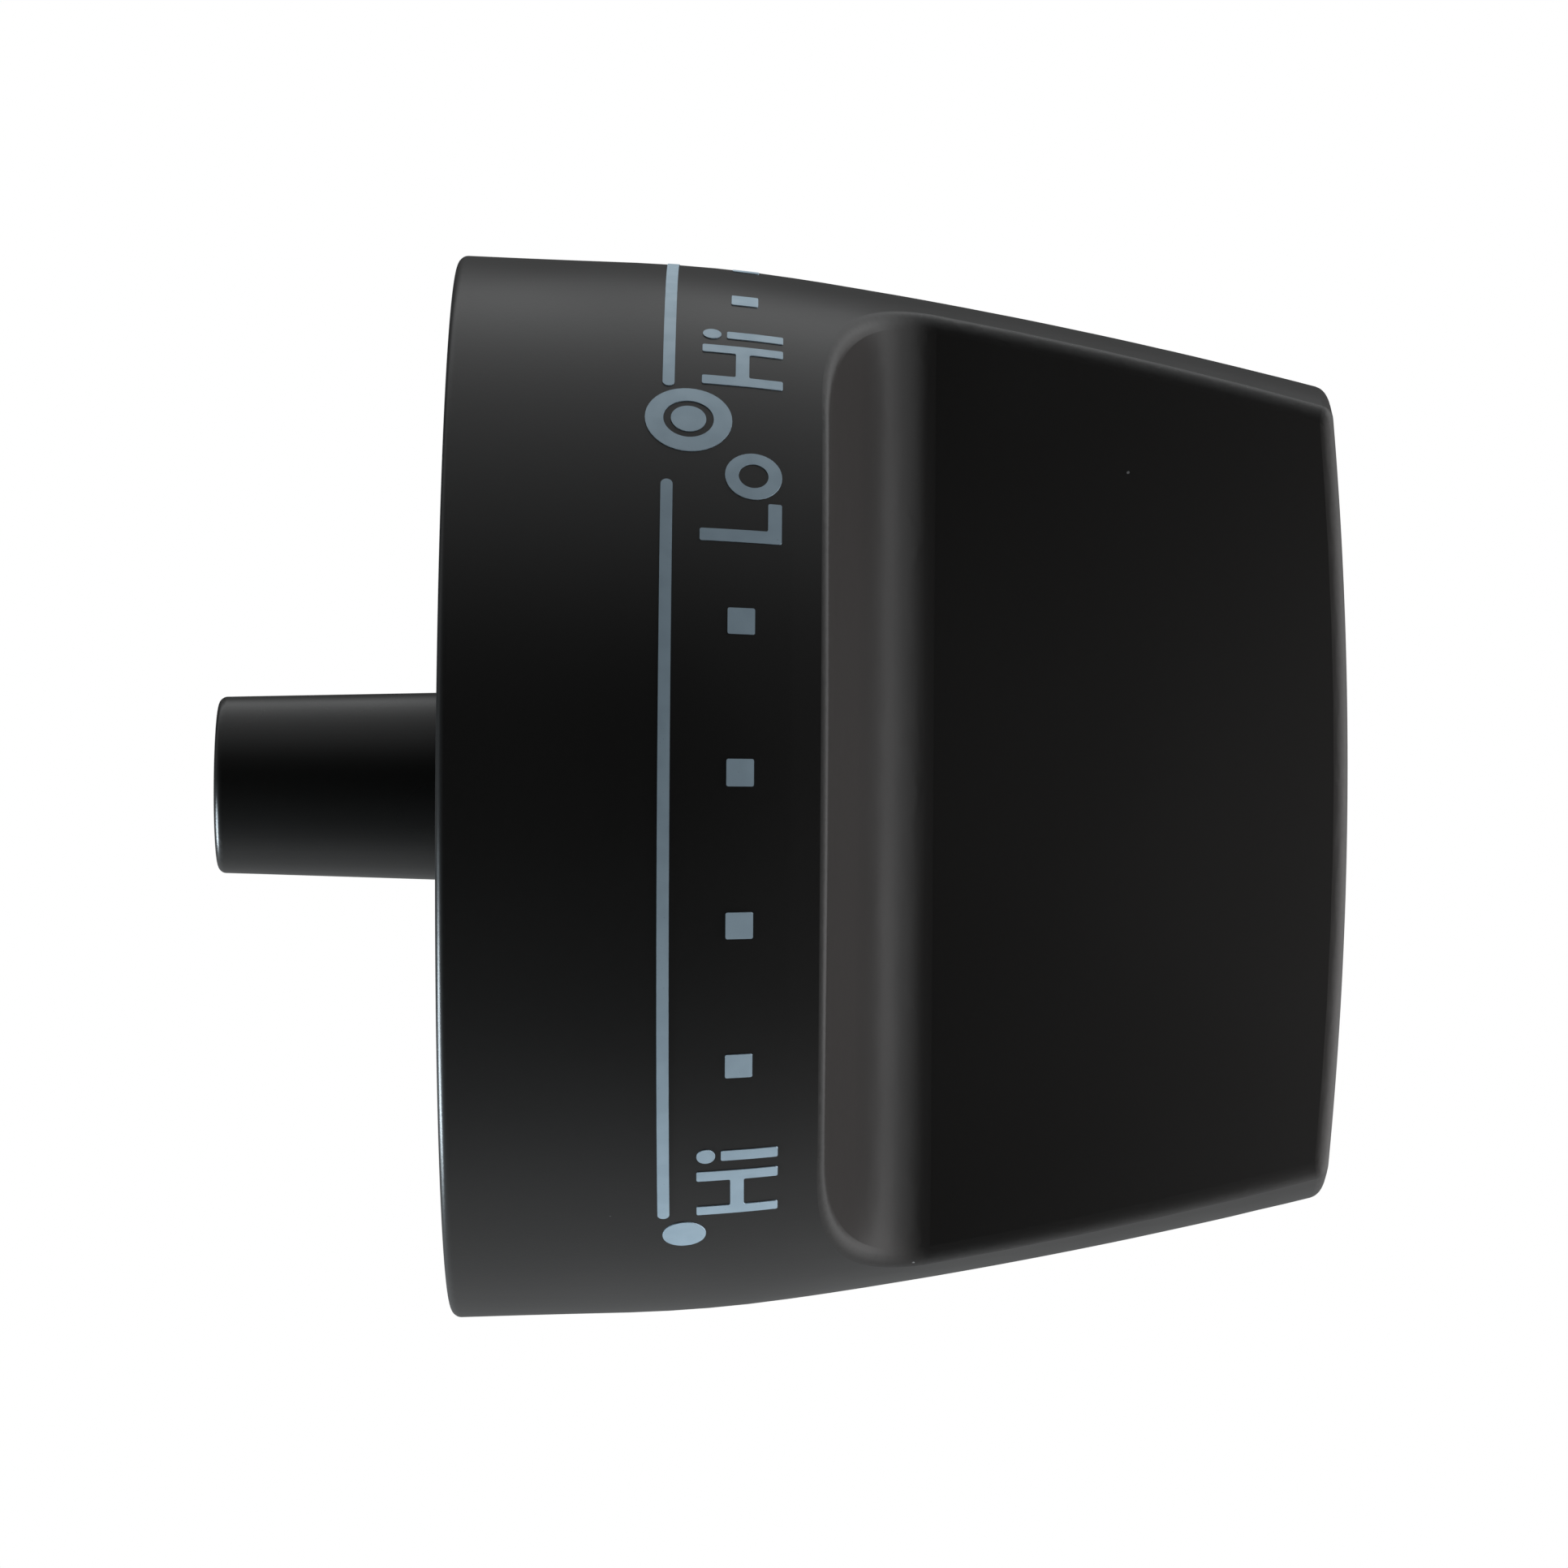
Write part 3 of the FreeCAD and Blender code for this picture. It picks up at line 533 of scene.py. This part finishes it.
def circle(x: float, y: float, radius: float, points: int = 44) -> list[Point]:
    """Points of a circle about a middle, anticlockwise."""
    turns = [2 * math.pi * number / points for number in range(points)]
    return [(x + radius * math.cos(turn), y + radius * math.sin(turn)) for turn in turns]


def shifted(shape: list[Point], x: float, y: float = 0.0) -> list[Point]:
    """An outline moved along the line of text and up."""
    return [(point[0] + x, point[1] + y) for point in shape]


@dataclass(frozen=True)
class Zone:
    """Angles of one scale's marks round the skirt, in degrees."""

    symbol: float
    line: tuple[float, float]
    high: float
    first_square: float
    low: float


class PrintTree:
    """Geometry Nodes that turn flat outlines and a row of squares into ink on the skirt."""

    MARGIN = 10 * MM
    MERIDIAN = math.radians(97)
    CORNER_POINTS = 3
    NEAR_SHARE = 0.25  # outline points nearer than this share of the ink's spread become one
    CUTS = 2
    WELD = 0.05 * MICRON
    CRISP_ANGLE = math.radians(35)

    def __init__(self) -> None:
        """Builds the tree."""
        self.group, self.sheet, self.given, self.out = new_group(
            "ink_on_skirt",
            "GeometryNodeTree",
            {
                "Outlines": ("NodeSocketGeometry", None),
                "Shell": ("NodeSocketObject", None),
                "Ink": ("NodeSocketMaterial", None),
                "Squares": ("NodeSocketInt", 0),
                "First Square": ("NodeSocketVector", None),
                "Square Step": ("NodeSocketFloat", 0.0),
                "Square Size": ("NodeSocketFloat", 1.0 * MM),
                "Ink Spread": ("NodeSocketFloat", 0.1 * MM),
                "Film": ("NodeSocketFloat", 0.04 * MM),
                "Bedding": ("NodeSocketFloat", 0.02 * MM),
                "Reference Radius": ("NodeSocketFloat", 25.0 * MM),
                "Reach": ("NodeSocketFloat", 30.0 * MM),
            },
            {"Ink": "NodeSocketGeometry"},
        )
        self._build()

    def _node(self, kind: str, settings: dict | None = None, inputs: dict | None = None) -> bpy.types.Node:
        """Adds a node to the tree."""
        return self.sheet.add(kind, settings, inputs)

    def _join(self, *parts: bpy.types.NodeSocket) -> bpy.types.NodeSocket:
        """Joins pieces of geometry and returns the result."""
        joined = self._node("GeometryNodeJoinGeometry")
        for part in parts:
            self.sheet.tree.links.new(part, joined.inputs[0])
        return joined.outputs[0]

    def _weld(self, geometry: bpy.types.NodeSocket, distance: object) -> bpy.types.NodeSocket:
        """Merges points nearer to each other than a distance and returns the result."""
        inputs = {"Geometry": geometry, "Distance": distance}
        return self._node("GeometryNodeMergeByDistance", None, inputs).outputs[0]

    def _vector(self, operation: str, **inputs: object) -> bpy.types.Node:
        """Adds a Vector Math node on a first and a second vector, or a vector and a scale."""
        sockets = {"first": 0, "second": 1, "scale": "Scale"}
        values = {sockets[name]: value for name, value in inputs.items()}
        return self._node("ShaderNodeVectorMath", {"operation": operation}, values)

    def _squares(self) -> bpy.types.NodeSocket:
        """A row of square outlines, one step apart, as curves."""
        given = self.given.outputs
        step = self._node("ShaderNodeCombineXYZ", None, {"Y": given["Square Step"]}).outputs[0]
        row = self._node(
            "GeometryNodeMeshLine",
            {"mode": "OFFSET"},
            {"Count": given["Squares"], "Start Location": given["First Square"], "Offset": step},
        )
        square = self._node(
            "GeometryNodeCurvePrimitiveQuadrilateral",
            {"mode": "RECTANGLE"},
            {"Width": given["Square Size"], "Height": given["Square Size"]},
        )
        put = {"Points": row.outputs[0], "Instance": square.outputs[0]}
        placed = self._node("GeometryNodeInstanceOnPoints", None, put).outputs[0]
        return self._node("GeometryNodeRealizeInstances", None, {"Geometry": placed}).outputs[0]

    def _flat_ink(self) -> bpy.types.NodeSocket:
        """All outlines with their corners rounded, filled and cut into small faces."""
        spread = self.given.outputs["Ink Spread"]
        lettering = self._node("GeometryNodeMeshToCurve", None, {"Mesh": self.given.outputs["Outlines"]})
        joined = self._join(lettering.outputs[0], self._squares())
        fillet = {"Curve": joined, "Count": self.CORNER_POINTS, "Radius": spread, "Limit Radius": True}
        rounded = self._node("GeometryNodeFilletCurve", {"mode": "POLY"}, fillet).outputs[0]
        loops = self._node("GeometryNodeCurveToMesh", None, {"Curve": rounded}).outputs[0]
        near = self.sheet.math("MULTIPLY", spread, self.NEAR_SHARE)
        outline = self._node("GeometryNodeMeshToCurve", None, {"Mesh": self._weld(loops, near)}).outputs[0]
        filled = self._node("GeometryNodeFillCurve", {"mode": "TRIANGLES"}, {"Curve": outline}).outputs[0]
        return self._node("GeometryNodeSubdivideMesh", None, {"Mesh": filled, "Level": self.CUTS}).outputs[0]

    def _wrapped(self, flat: bpy.types.NodeSocket) -> bpy.types.NodeSocket:
        """Lays the flat film on the shell: X stays the axis, Y becomes the way round, and Z the height.

        The radius at each place along the axis is read on one meridian, so the ink is truly round.
        """
        sheet, given = self.sheet, self.given.outputs
        here = self._node("GeometryNodeInputPosition").outputs[0]
        place = self._node("ShaderNodeSeparateXYZ", None, {0: here}).outputs
        axial = self._node("ShaderNodeCombineXYZ", None, {"X": place["X"]}).outputs[0]
        probe = Vector((0.0, -math.cos(self.MERIDIAN), -math.sin(self.MERIDIAN)))
        far = self._vector("SCALE", first=probe, scale=given["Reach"]).outputs[0]
        start = self._vector("ADD", first=far, second=axial).outputs[0]
        original = {"transform_space": "ORIGINAL"}
        shell = self._node("GeometryNodeObjectInfo", original, {"Object": given["Shell"]})
        aim = {
            "Target Geometry": shell.outputs["Geometry"],
            "Source Position": start,
            "Ray Direction": -probe,
            "Ray Length": given["Reach"],
        }
        hit = self._node("GeometryNodeRaycast", None, aim).outputs["Hit Position"]
        reached = self._vector("DISTANCE", first=hit, second=axial).outputs["Value"]
        foot = sheet.math("SUBTRACT", reached, given["Bedding"])
        radius = sheet.math("ADD", foot, place["Z"])
        turn = sheet.math("DIVIDE", place["Y"], given["Reference Radius"])
        side = sheet.math("MULTIPLY", sheet.math("COSINE", turn), -1.0)
        outward = self._node("ShaderNodeCombineXYZ", None, {"Y": side, "Z": sheet.math("SINE", turn)})
        laid = self._vector("SCALE", first=outward.outputs[0], scale=radius).outputs[0]
        spot = self._vector("ADD", first=laid, second=axial).outputs[0]
        return self._node("GeometryNodeSetPosition", None, {"Geometry": flat, "Position": spot}).outputs[0]

    def _build(self) -> None:
        """Gives the flat ink its thickness, closes it underneath and lays it on the shell."""
        sheet, given = self.sheet, self.given.outputs
        base = self._flat_ink()
        height = sheet.math("ADD", given["Film"], given["Bedding"])
        rise = self._node("ShaderNodeCombineXYZ", None, {"Z": height}).outputs[0]
        lift = {"Mesh": base, "Offset": rise, "Offset Scale": 1.0, "Individual": False}
        raised = self._node("GeometryNodeExtrudeMesh", {"mode": "FACES"}, lift).outputs["Mesh"]
        under = self._node("GeometryNodeFlipFaces", None, {"Mesh": base}).outputs[0]
        laid = self._wrapped(self._weld(self._join(raised, under), self.WELD))
        smooth = self._node("GeometryNodeSetShadeSmooth", {"domain": "FACE"}, {"Geometry": laid}).outputs[0]
        bend = self._node("GeometryNodeInputMeshEdgeAngle").outputs["Unsigned Angle"]
        sharp = sheet.math("GREATER_THAN", bend, self.CRISP_ANGLE)
        crease = {"Geometry": smooth, "Selection": sharp, "Shade Smooth": False}
        crisp = self._node("GeometryNodeSetShadeSmooth", {"domain": "EDGE"}, crease).outputs[0]
        real = self._node("GeometryNodeRealizeInstances", None, {"Geometry": crisp}).outputs[0]
        inked = self._node("GeometryNodeSetMaterial", None, {"Geometry": real, "Material": given["Ink"]})
        sheet.tree.links.new(inked.outputs[0], self.out.inputs["Ink"])


def set_input(modifier: bpy.types.Modifier, name: str, value: object) -> None:
    """Sets a modifier's input by the identifier of the socket with this name."""
    for item in modifier.node_group.interface.items_tree:
        if item.item_type == "SOCKET" and item.in_out == "INPUT" and item.name == name:
            modifier[item.identifier] = value
            return
    raise KeyError(name)


def plain_mesh(thing: bpy.types.Object, name: str) -> bpy.types.Object:
    """Turns an object with live modifiers into a plain one.

    Args:
        thing: the object, which is removed.
        name: the new object's name.

    Returns:
        A mesh object at the origin with no modifiers.
    """
    bpy.context.view_layer.update()
    seen = thing.evaluated_get(bpy.context.evaluated_depsgraph_get())
    mesh = bpy.data.meshes.new_from_object(seen)
    mesh.name = name
    thing.modifiers.clear()
    bpy.data.objects.remove(thing)
    made = bpy.data.objects.new(name, mesh)
    bpy.context.scene.collection.objects.link(made)
    return made


@dataclass
class PrintedScales:
    """The ink on the skirt: two heat scales and the off mark."""

    surface: Surface
    paints: Paints
    tree: PrintTree
    letters: Lettering = Lettering()
    inner: Zone = Zone(symbol=55.7, line=(-33.5, 51.8), high=47.0, first_square=30.6, low=-32.5)
    dual: Zone = Zone(symbol=-42.6, line=(-131.7, -48.2), high=-53.4, first_square=-67.0, low=-130.4)
    off_angle: float = 138.5
    text_base: float = 15.5 * MM
    square: float = 1.24 * MM
    square_place: float = 13.7 * MM
    squares: int = 4
    scale_step: float = 16.13
    line_place: float = 10.25 * MM
    line_width: float = 0.55 * MM
    line_end_steps: int = 12
    symbol_place: float = 11.2 * MM
    dot_radius: float = 1.0 * MM
    ring_radius: float = 2.0 * MM
    ring_width: float = 0.84 * MM
    ring_disc_radius: float = 0.81 * MM
    ink_spread: float = 0.09 * MM
    film: float = 0.04 * MM
    bedding: float = 0.02 * MM

    def __post_init__(self) -> None:
        """Reads the radius that angles are laid out on."""
        middle = self.text_base - self.letters.cap_height / 2
        self.layout_radius = self.surface.radius(self.surface.rim + middle)

    def along(self, angle: float) -> float:
        """Place along the flat layout of an angle of the skirt."""
        return -math.radians(angle) * self.layout_radius

    def text(self, shapes: list[list[Point]], width: float, angle: float) -> list[list[Point]]:
        """Lays a word on the flat layout.

        Args:
            shapes: the word's outlines, from the left end of its foot.
            width: how wide the word is.
            angle: the angle of the skirt at its middle.

        Returns:
            The outlines, with the axis as X.
        """
        foot = self.surface.rim + self.text_base
        start = self.along(angle) - width / 2
        return [[(foot - up, start + right) for right, up in shape] for shape in shapes]

    def high(self, angle: float) -> list[list[Point]]:
        """The word Hi."""
        letters = self.letters
        left = letters.h_width + letters.gap
        dot_height = letters.cap_height - letters.i_dot / 2
        dot = circle(left + letters.stroke / 2, dot_height, letters.i_dot / 2, letters.i_dot_points)
        shapes = [letters.letter_h(), shifted(letters.stem_i(), left), dot]
        return self.text(shapes, left + letters.stroke, angle)

    def low(self, angle: float) -> list[list[Point]]:
        """The word Lo."""
        letters = self.letters
        left = letters.l_width + letters.round_gap
        rings = [shifted(ring, left) for ring in letters.ring(letters.x_height)]
        return self.text([letters.letter_l()] + rings, left + letters.x_height, angle)

    def off(self, angle: float) -> list[list[Point]]:
        """The word OFF."""
        letters = self.letters
        step = letters.f_width + letters.gap
        left = letters.cap_height + letters.gap
        legs = [shifted(letters.letter_f(), left + number * step) for number in range(2)]
        return self.text(letters.ring(letters.cap_height) + legs, letters.cap_height + 2 * step, angle)

    def line(self, zone: Zone) -> list[list[Point]]:
        """The line beside a scale, with round ends and enough points to bend."""
        first, last = (self.along(angle) for angle in reversed(zone.line))
        middle, half = self.surface.rim + self.line_place, self.line_width / 2
        turns = [math.pi * number / self.line_end_steps for number in range(self.line_end_steps + 1)]
        count = round((last - first) / self.line_width)
        runs = [first + (last - first) * number / count for number in range(count + 1)]
        far_end = [(middle + half * math.cos(turn), last + half * math.sin(turn)) for turn in turns]
        near_end = [(middle - half * math.cos(turn), first - half * math.sin(turn)) for turn in turns]
        up = [(middle + half, place) for place in runs[1:-1]]
        down = [(middle - half, place) for place in reversed(runs[1:-1])]
        return [up + far_end + down + near_end]

    def round_mark(self, angle: float, *radii: float) -> list[list[Point]]:
        """A dot, or a disc in a ring, given the radii of its outlines."""
        middle = self.surface.rim + self.symbol_place
        return [circle(middle, self.along(angle), radius) for radius in radii]

    def marks(self, zone: Zone) -> list[list[Point]]:
        """The line and words of a scale."""
        return self.line(zone) + self.high(zone.high) + self.low(zone.low)

    def lay(self, name: str, shapes: list[list[Point]], zone: Zone | None) -> None:
        """Prints some outlines, and the squares of a scale if there is one.

        Args:
            name: the name of the frame's print that the new piece stands for.
            shapes: flat outlines.
            zone: the scale whose squares are added, or None.
        """
        flat = outline_mesh(name + "_layout", shapes)
        modifier = flat.modifiers.new("ink", "NODES")
        modifier.node_group = self.tree.group
        first = self.along(zone.first_square) if zone else 0.0
        place = (self.surface.rim + self.square_place, first, 0.0)
        for label, value in {
            "Shell": self.surface.shell,
            "Ink": self.paints.get(Finish.INK),
            "Squares": self.squares if zone else 0,
            "First Square": place,
            "Square Step": math.radians(self.scale_step) * self.layout_radius,
            "Square Size": self.square,
            "Ink Spread": self.ink_spread,
            "Film": self.film,
            "Bedding": self.bedding,
            "Reference Radius": self.layout_radius,
            "Reach": self.surface.reach + PrintTree.MARGIN,
        }.items():
            set_input(modifier, label, value)
        made = plain_mesh(flat, name.replace("print", "ink"))
        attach(made, "knob")
        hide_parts(name)
        LOG.info("%s: %d faces", made.name, len(made.data.polygons))

    def build(self) -> None:
        """Prints all three marks."""
        dot = self.round_mark(self.inner.symbol, self.dot_radius)
        self.lay("inner_zone_print", dot + self.marks(self.inner), self.inner)
        hole = self.ring_radius - self.ring_width
        ring = self.round_mark(self.dual.symbol, self.ring_radius, hole, self.ring_disc_radius)
        self.lay("dual_zone_print", ring + self.marks(self.dual), self.dual)
        self.lay("off_print", self.off(self.off_angle), None)


def outline_mesh(name: str, shapes: list[list[Point]]) -> bpy.types.Object:
    """Makes closed loops of edges from flat outlines.

    Args:
        name: the object's name.
        shapes: the outlines.

    Returns:
        The object, in the scene.
    """
    points: list[tuple[float, float, float]] = []
    edges: list[tuple[int, int]] = []
    for shape in shapes:
        start, count = len(points), len(shape)
        points += [(x, y, 0.0) for x, y in shape]
        edges += [(start + number, start + (number + 1) % count) for number in range(count)]
    mesh = bpy.data.meshes.new(name)
    mesh.from_pydata(points, edges, [])
    made = bpy.data.objects.new(name, mesh)
    bpy.context.scene.collection.objects.link(made)
    return made


# ---------------------------------------------------------------- mouldings and clip


@dataclass
class Mouldings:
    """The knob's own pieces from the frame: the shell, the hub and the spring clip."""

    nodes: dict[str, bpy.types.Object]
    paints: Paints

    def dress(self) -> None:
        """Gives each piece its finish."""
        for name, finish in {
            "grip_shell": Finish.SHELL,
            "stem_hub": Finish.HUB,
            "shaft_clip": Finish.CLIP,
            "inner_zone_print": Finish.INK,
            "dual_zone_print": Finish.INK,
            "off_print": Finish.INK,
        }.items():
            self.paints.dress(self.nodes[name], finish)
            LOG.info("%s: %s", name, finish.name.lower())


# ---------------------------------------------------------------- light, floor and camera


@dataclass(frozen=True)
class SoftLight:
    """A rectangular soft light that faces the knob. Its width lies along the way given as its long side."""

    name: str
    direction: tuple[float, float, float]
    long_side: tuple[float, float, float]
    distance: float
    width: float
    height: float
    power: float
    colour: RGB
    mirrored: bool = True

    def place(self, target: Vector) -> None:
        """Puts the light at its distance from the target, facing it.

        Args:
            target: the place that it lights.
        """
        data = bpy.data.lights.new(self.name, "AREA")
        data.shape = "RECTANGLE"
        data.size = self.width
        data.size_y = self.height
        data.energy = self.power
        data.color = self.colour
        lamp = bpy.data.objects.new(self.name, data)
        away = Vector(self.direction).normalized()
        along = Vector(self.long_side)
        side = (along - away * along.dot(away)).normalized()
        turn = Matrix((side, away.cross(side), away)).transposed()
        lamp.matrix_world = Matrix.Translation(target + away * self.distance) @ turn.to_4x4()
        lamp.visible_camera = False
        lamp.visible_glossy = self.mirrored
        bpy.context.scene.collection.objects.link(lamp)


@dataclass
class Studio:
    """A light tent round the knob, a pale floor well below it and the camera."""

    TENT_TONES: ClassVar[dict[float, float]] = {
        -180: 0.24,
        -153: 0.30,
        -130: 0.40,
        -95: 0.45,
        -70: 0.19,
        -50: 0.075,
        -30: 0.045,
        -15: 0.02,
        0: 0.01,
        14: 0.01,
        30: 0.04,
        45: 0.16,
        60: 0.33,
        95: 0.62,
        122: 0.90,
        134: 0.88,
        141: 0.36,
        149: 0.10,
        180: 0.05,
    }
    SHIFT: ClassVar[Vector] = Vector((0.2, 0.0, 0.22)) * MM  # from the knob's middle to the view's middle
    FRONT_GLOW: ClassVar[tuple] = ((0.35, 0.85), (0.0, 0.62))
    STEM_DIMMING: ClassVar[tuple] = ((-0.3, -0.8), (1.0, 0.45))

    centre: Vector
    camera_distance: float = 0.400
    camera_near: float = 10 * MM
    view_width: float = 75.15 * MM
    sensor_width: float = 36.0
    roll: float = -0.38
    floor_drop: float = 0.25
    floor_radius: float = 2.0
    floor_points: int = 96
    floor_colours: tuple[RGB, RGB] = ((0.82, 0.82, 0.81), (0.86, 0.86, 0.85))
    floor_fibre_scale: float = 40.0
    floor_roughness: float = 0.9
    tent_colour: RGB = (0.97, 0.99, 1.0)
    lights: tuple[SoftLight, ...] = (
        SoftLight(
            name="rim_strip_light",
            direction=(-0.86, 0.06, -0.49),
            long_side=(0.275, 0.572, -0.298),
            distance=0.30,
            width=0.19,
            height=0.08,
            power=1.4,
            colour=(0.80, 0.92, 1.0),
        ),
        SoftLight(
            name="scoop_panel_light",
            direction=(1.0, 0.0, -0.23),
            long_side=(0.0, 0.0, 1.0),
            distance=0.15,
            width=0.12,
            height=0.11,
            power=0.020,
            colour=(1.0, 0.97, 0.98),
        ),
        SoftLight(
            name="scoop_fill_light",
            direction=(1.0, 0.0, -0.08),
            long_side=(0.0, 0.0, 1.0),
            distance=0.15,
            width=0.04,
            height=0.02,
            power=0.58,
            colour=(1.0, 0.95, 0.94),
            mirrored=False,
        ),
        SoftLight(
            name="flank_fill_light",
            direction=(0.91, -0.37, -0.19),
            long_side=(0.0, 0.0, 1.0),
            distance=0.058,
            width=0.05,
            height=0.02,
            power=0.038,
            colour=(1.0, 1.0, 1.0),
            mirrored=False,
        ),
        SoftLight(
            name="top_fill_light",
            direction=(0.0, 0.45, 0.89),
            long_side=(1.0, 0.0, 0.0),
            distance=0.25,
            width=0.20,
            height=0.05,
            power=0.52,
            colour=(1.0, 1.0, 0.97),
            mirrored=False,
        ),
    )

    def build(self) -> None:
        """Makes the tent, floor, lights and camera."""
        bpy.context.scene.view_settings.view_transform = "Standard"
        self._tent()
        self._floor()
        for light in self.lights:
            light.place(self.centre)
        self._camera()

    def _tent(self) -> None:
        """A tent that is bright above and behind the knob, dim in front, and plain white to look at.

        Its tones go by the angle round the knob's axis: 0 in front, 90 above and 180 behind. A soft glow
        comes from the grip's side, and the stem's side is dimmer.
        """
        world = bpy.data.worlds.new("light_tent")
        bpy.context.scene.world = world
        world.use_nodes = True
        world.node_tree.nodes.clear()
        sheet = NodeSheet(world.node_tree)
        way = sheet.add("ShaderNodeTexCoord").outputs["Generated"]
        part = sheet.add("ShaderNodeSeparateXYZ", None, {0: way})
        front = sheet.math("MULTIPLY", part.outputs["Y"], -1.0)
        turn = sheet.math("ARCTAN2", part.outputs["Z"], front)
        share = sheet.math("MULTIPLY_ADD", turn, 0.5 / math.pi, 0.5)
        ramp = sheet.add("ShaderNodeValToRGB", None, {"Fac": share})
        fill_ramp(ramp.color_ramp, self.TENT_TONES)
        glow = sheet.span(part.outputs["X"], *self.FRONT_GLOW)
        dimming = sheet.span(part.outputs["X"], *self.STEM_DIMMING)
        tone = sheet.math("MULTIPLY", ramp.outputs["Color"], dimming)
        total = sheet.math("ADD", tone, glow)
        lit = sheet.add("ShaderNodeBackground", None, {"Color": (*self.tent_colour, 1.0), "Strength": total})
        white = (1.0, 1.0, 1.0, 1.0)
        seen = sheet.add("ShaderNodeBackground", None, {"Color": white, "Strength": 1.0})
        camera_ray = sheet.add("ShaderNodeLightPath").outputs["Is Camera Ray"]
        both = sheet.add("ShaderNodeMixShader", None, {0: camera_ray, 1: lit.outputs[0], 2: seen.outputs[0]})
        sheet.add("ShaderNodeOutputWorld", None, {"Surface": both.outputs[0]})

    def _floor(self) -> None:
        """A plain pale floor, round so that it ends nowhere in sight."""
        rim = circle(0.0, 0.0, self.floor_radius, self.floor_points)
        mesh = bpy.data.meshes.new("pale_floor")
        height = self.centre.z - self.floor_drop
        mesh.from_pydata([(self.centre.x + x, y, height) for x, y in rim], [], [list(range(len(rim)))])
        floor = bpy.data.objects.new("pale_floor", mesh)
        bpy.context.scene.collection.objects.link(floor)
        material, sheet, out = new_material("floor_paper")
        place = sheet.add("ShaderNodeTexCoord").outputs["Object"]
        fibre_inputs = {"Vector": place, "Scale": self.floor_fibre_scale, "Detail": 3.0}
        fibres = sheet.add("ShaderNodeTexNoise", None, fibre_inputs).outputs[0]
        dark, pale = ((*colour, 1.0) for colour in self.floor_colours)
        shade = sheet.mix(fibres, dark, pale)
        sheet.coat(out, {"Base Color": shade, "Roughness": self.floor_roughness})
        mesh.materials.append(material)
        floor.visible_glossy = False
        floor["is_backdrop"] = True

    def _camera(self) -> None:
        """A long lens that looks square on at the knob's side."""
        data = bpy.data.cameras.new("camera")
        data.sensor_width = self.sensor_width
        data.lens = self.sensor_width * self.camera_distance / self.view_width
        data.clip_start = self.camera_near
        camera = bpy.data.objects.new("camera", data)
        camera.location = self.centre + Vector((0.0, -self.camera_distance, 0.0))
        camera.rotation_euler = (math.radians(90), math.radians(self.roll), 0.0)
        bpy.context.scene.collection.objects.link(camera)
        bpy.context.scene.camera = camera


def fill_ramp(ramp: bpy.types.ColorRamp, tones: dict[float, float]) -> None:
    """Sets a colour ramp's greys.

    Args:
        ramp: the ramp, which covers a full turn.
        tones: grey by angle in degrees, from -180 to 180.
    """
    while len(ramp.elements) > 1:
        ramp.elements.remove(ramp.elements[-1])
    for number, (angle, tone) in enumerate(tones.items()):
        place = angle / 360 + 0.5
        stop = ramp.elements[0] if number == 0 else ramp.elements.new(place)
        stop.position = place
        stop.color = (tone, tone, tone, 1.0)


def main() -> None:
    """Builds the looks of the knob round its frame."""
    logging.basicConfig(level=logging.INFO, format="%(name)s: %(message)s")
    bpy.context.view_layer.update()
    paints = Paints()
    surface = Surface(frame["nodes"]["grip_shell"])
    Mouldings(frame["nodes"], paints).dress()
    PrintedScales(surface, paints, PrintTree()).build()
    low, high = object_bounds()
    Studio(centre=(low + high) / 2 + Studio.SHIFT).build()


if __name__ == "__main__":
    main()
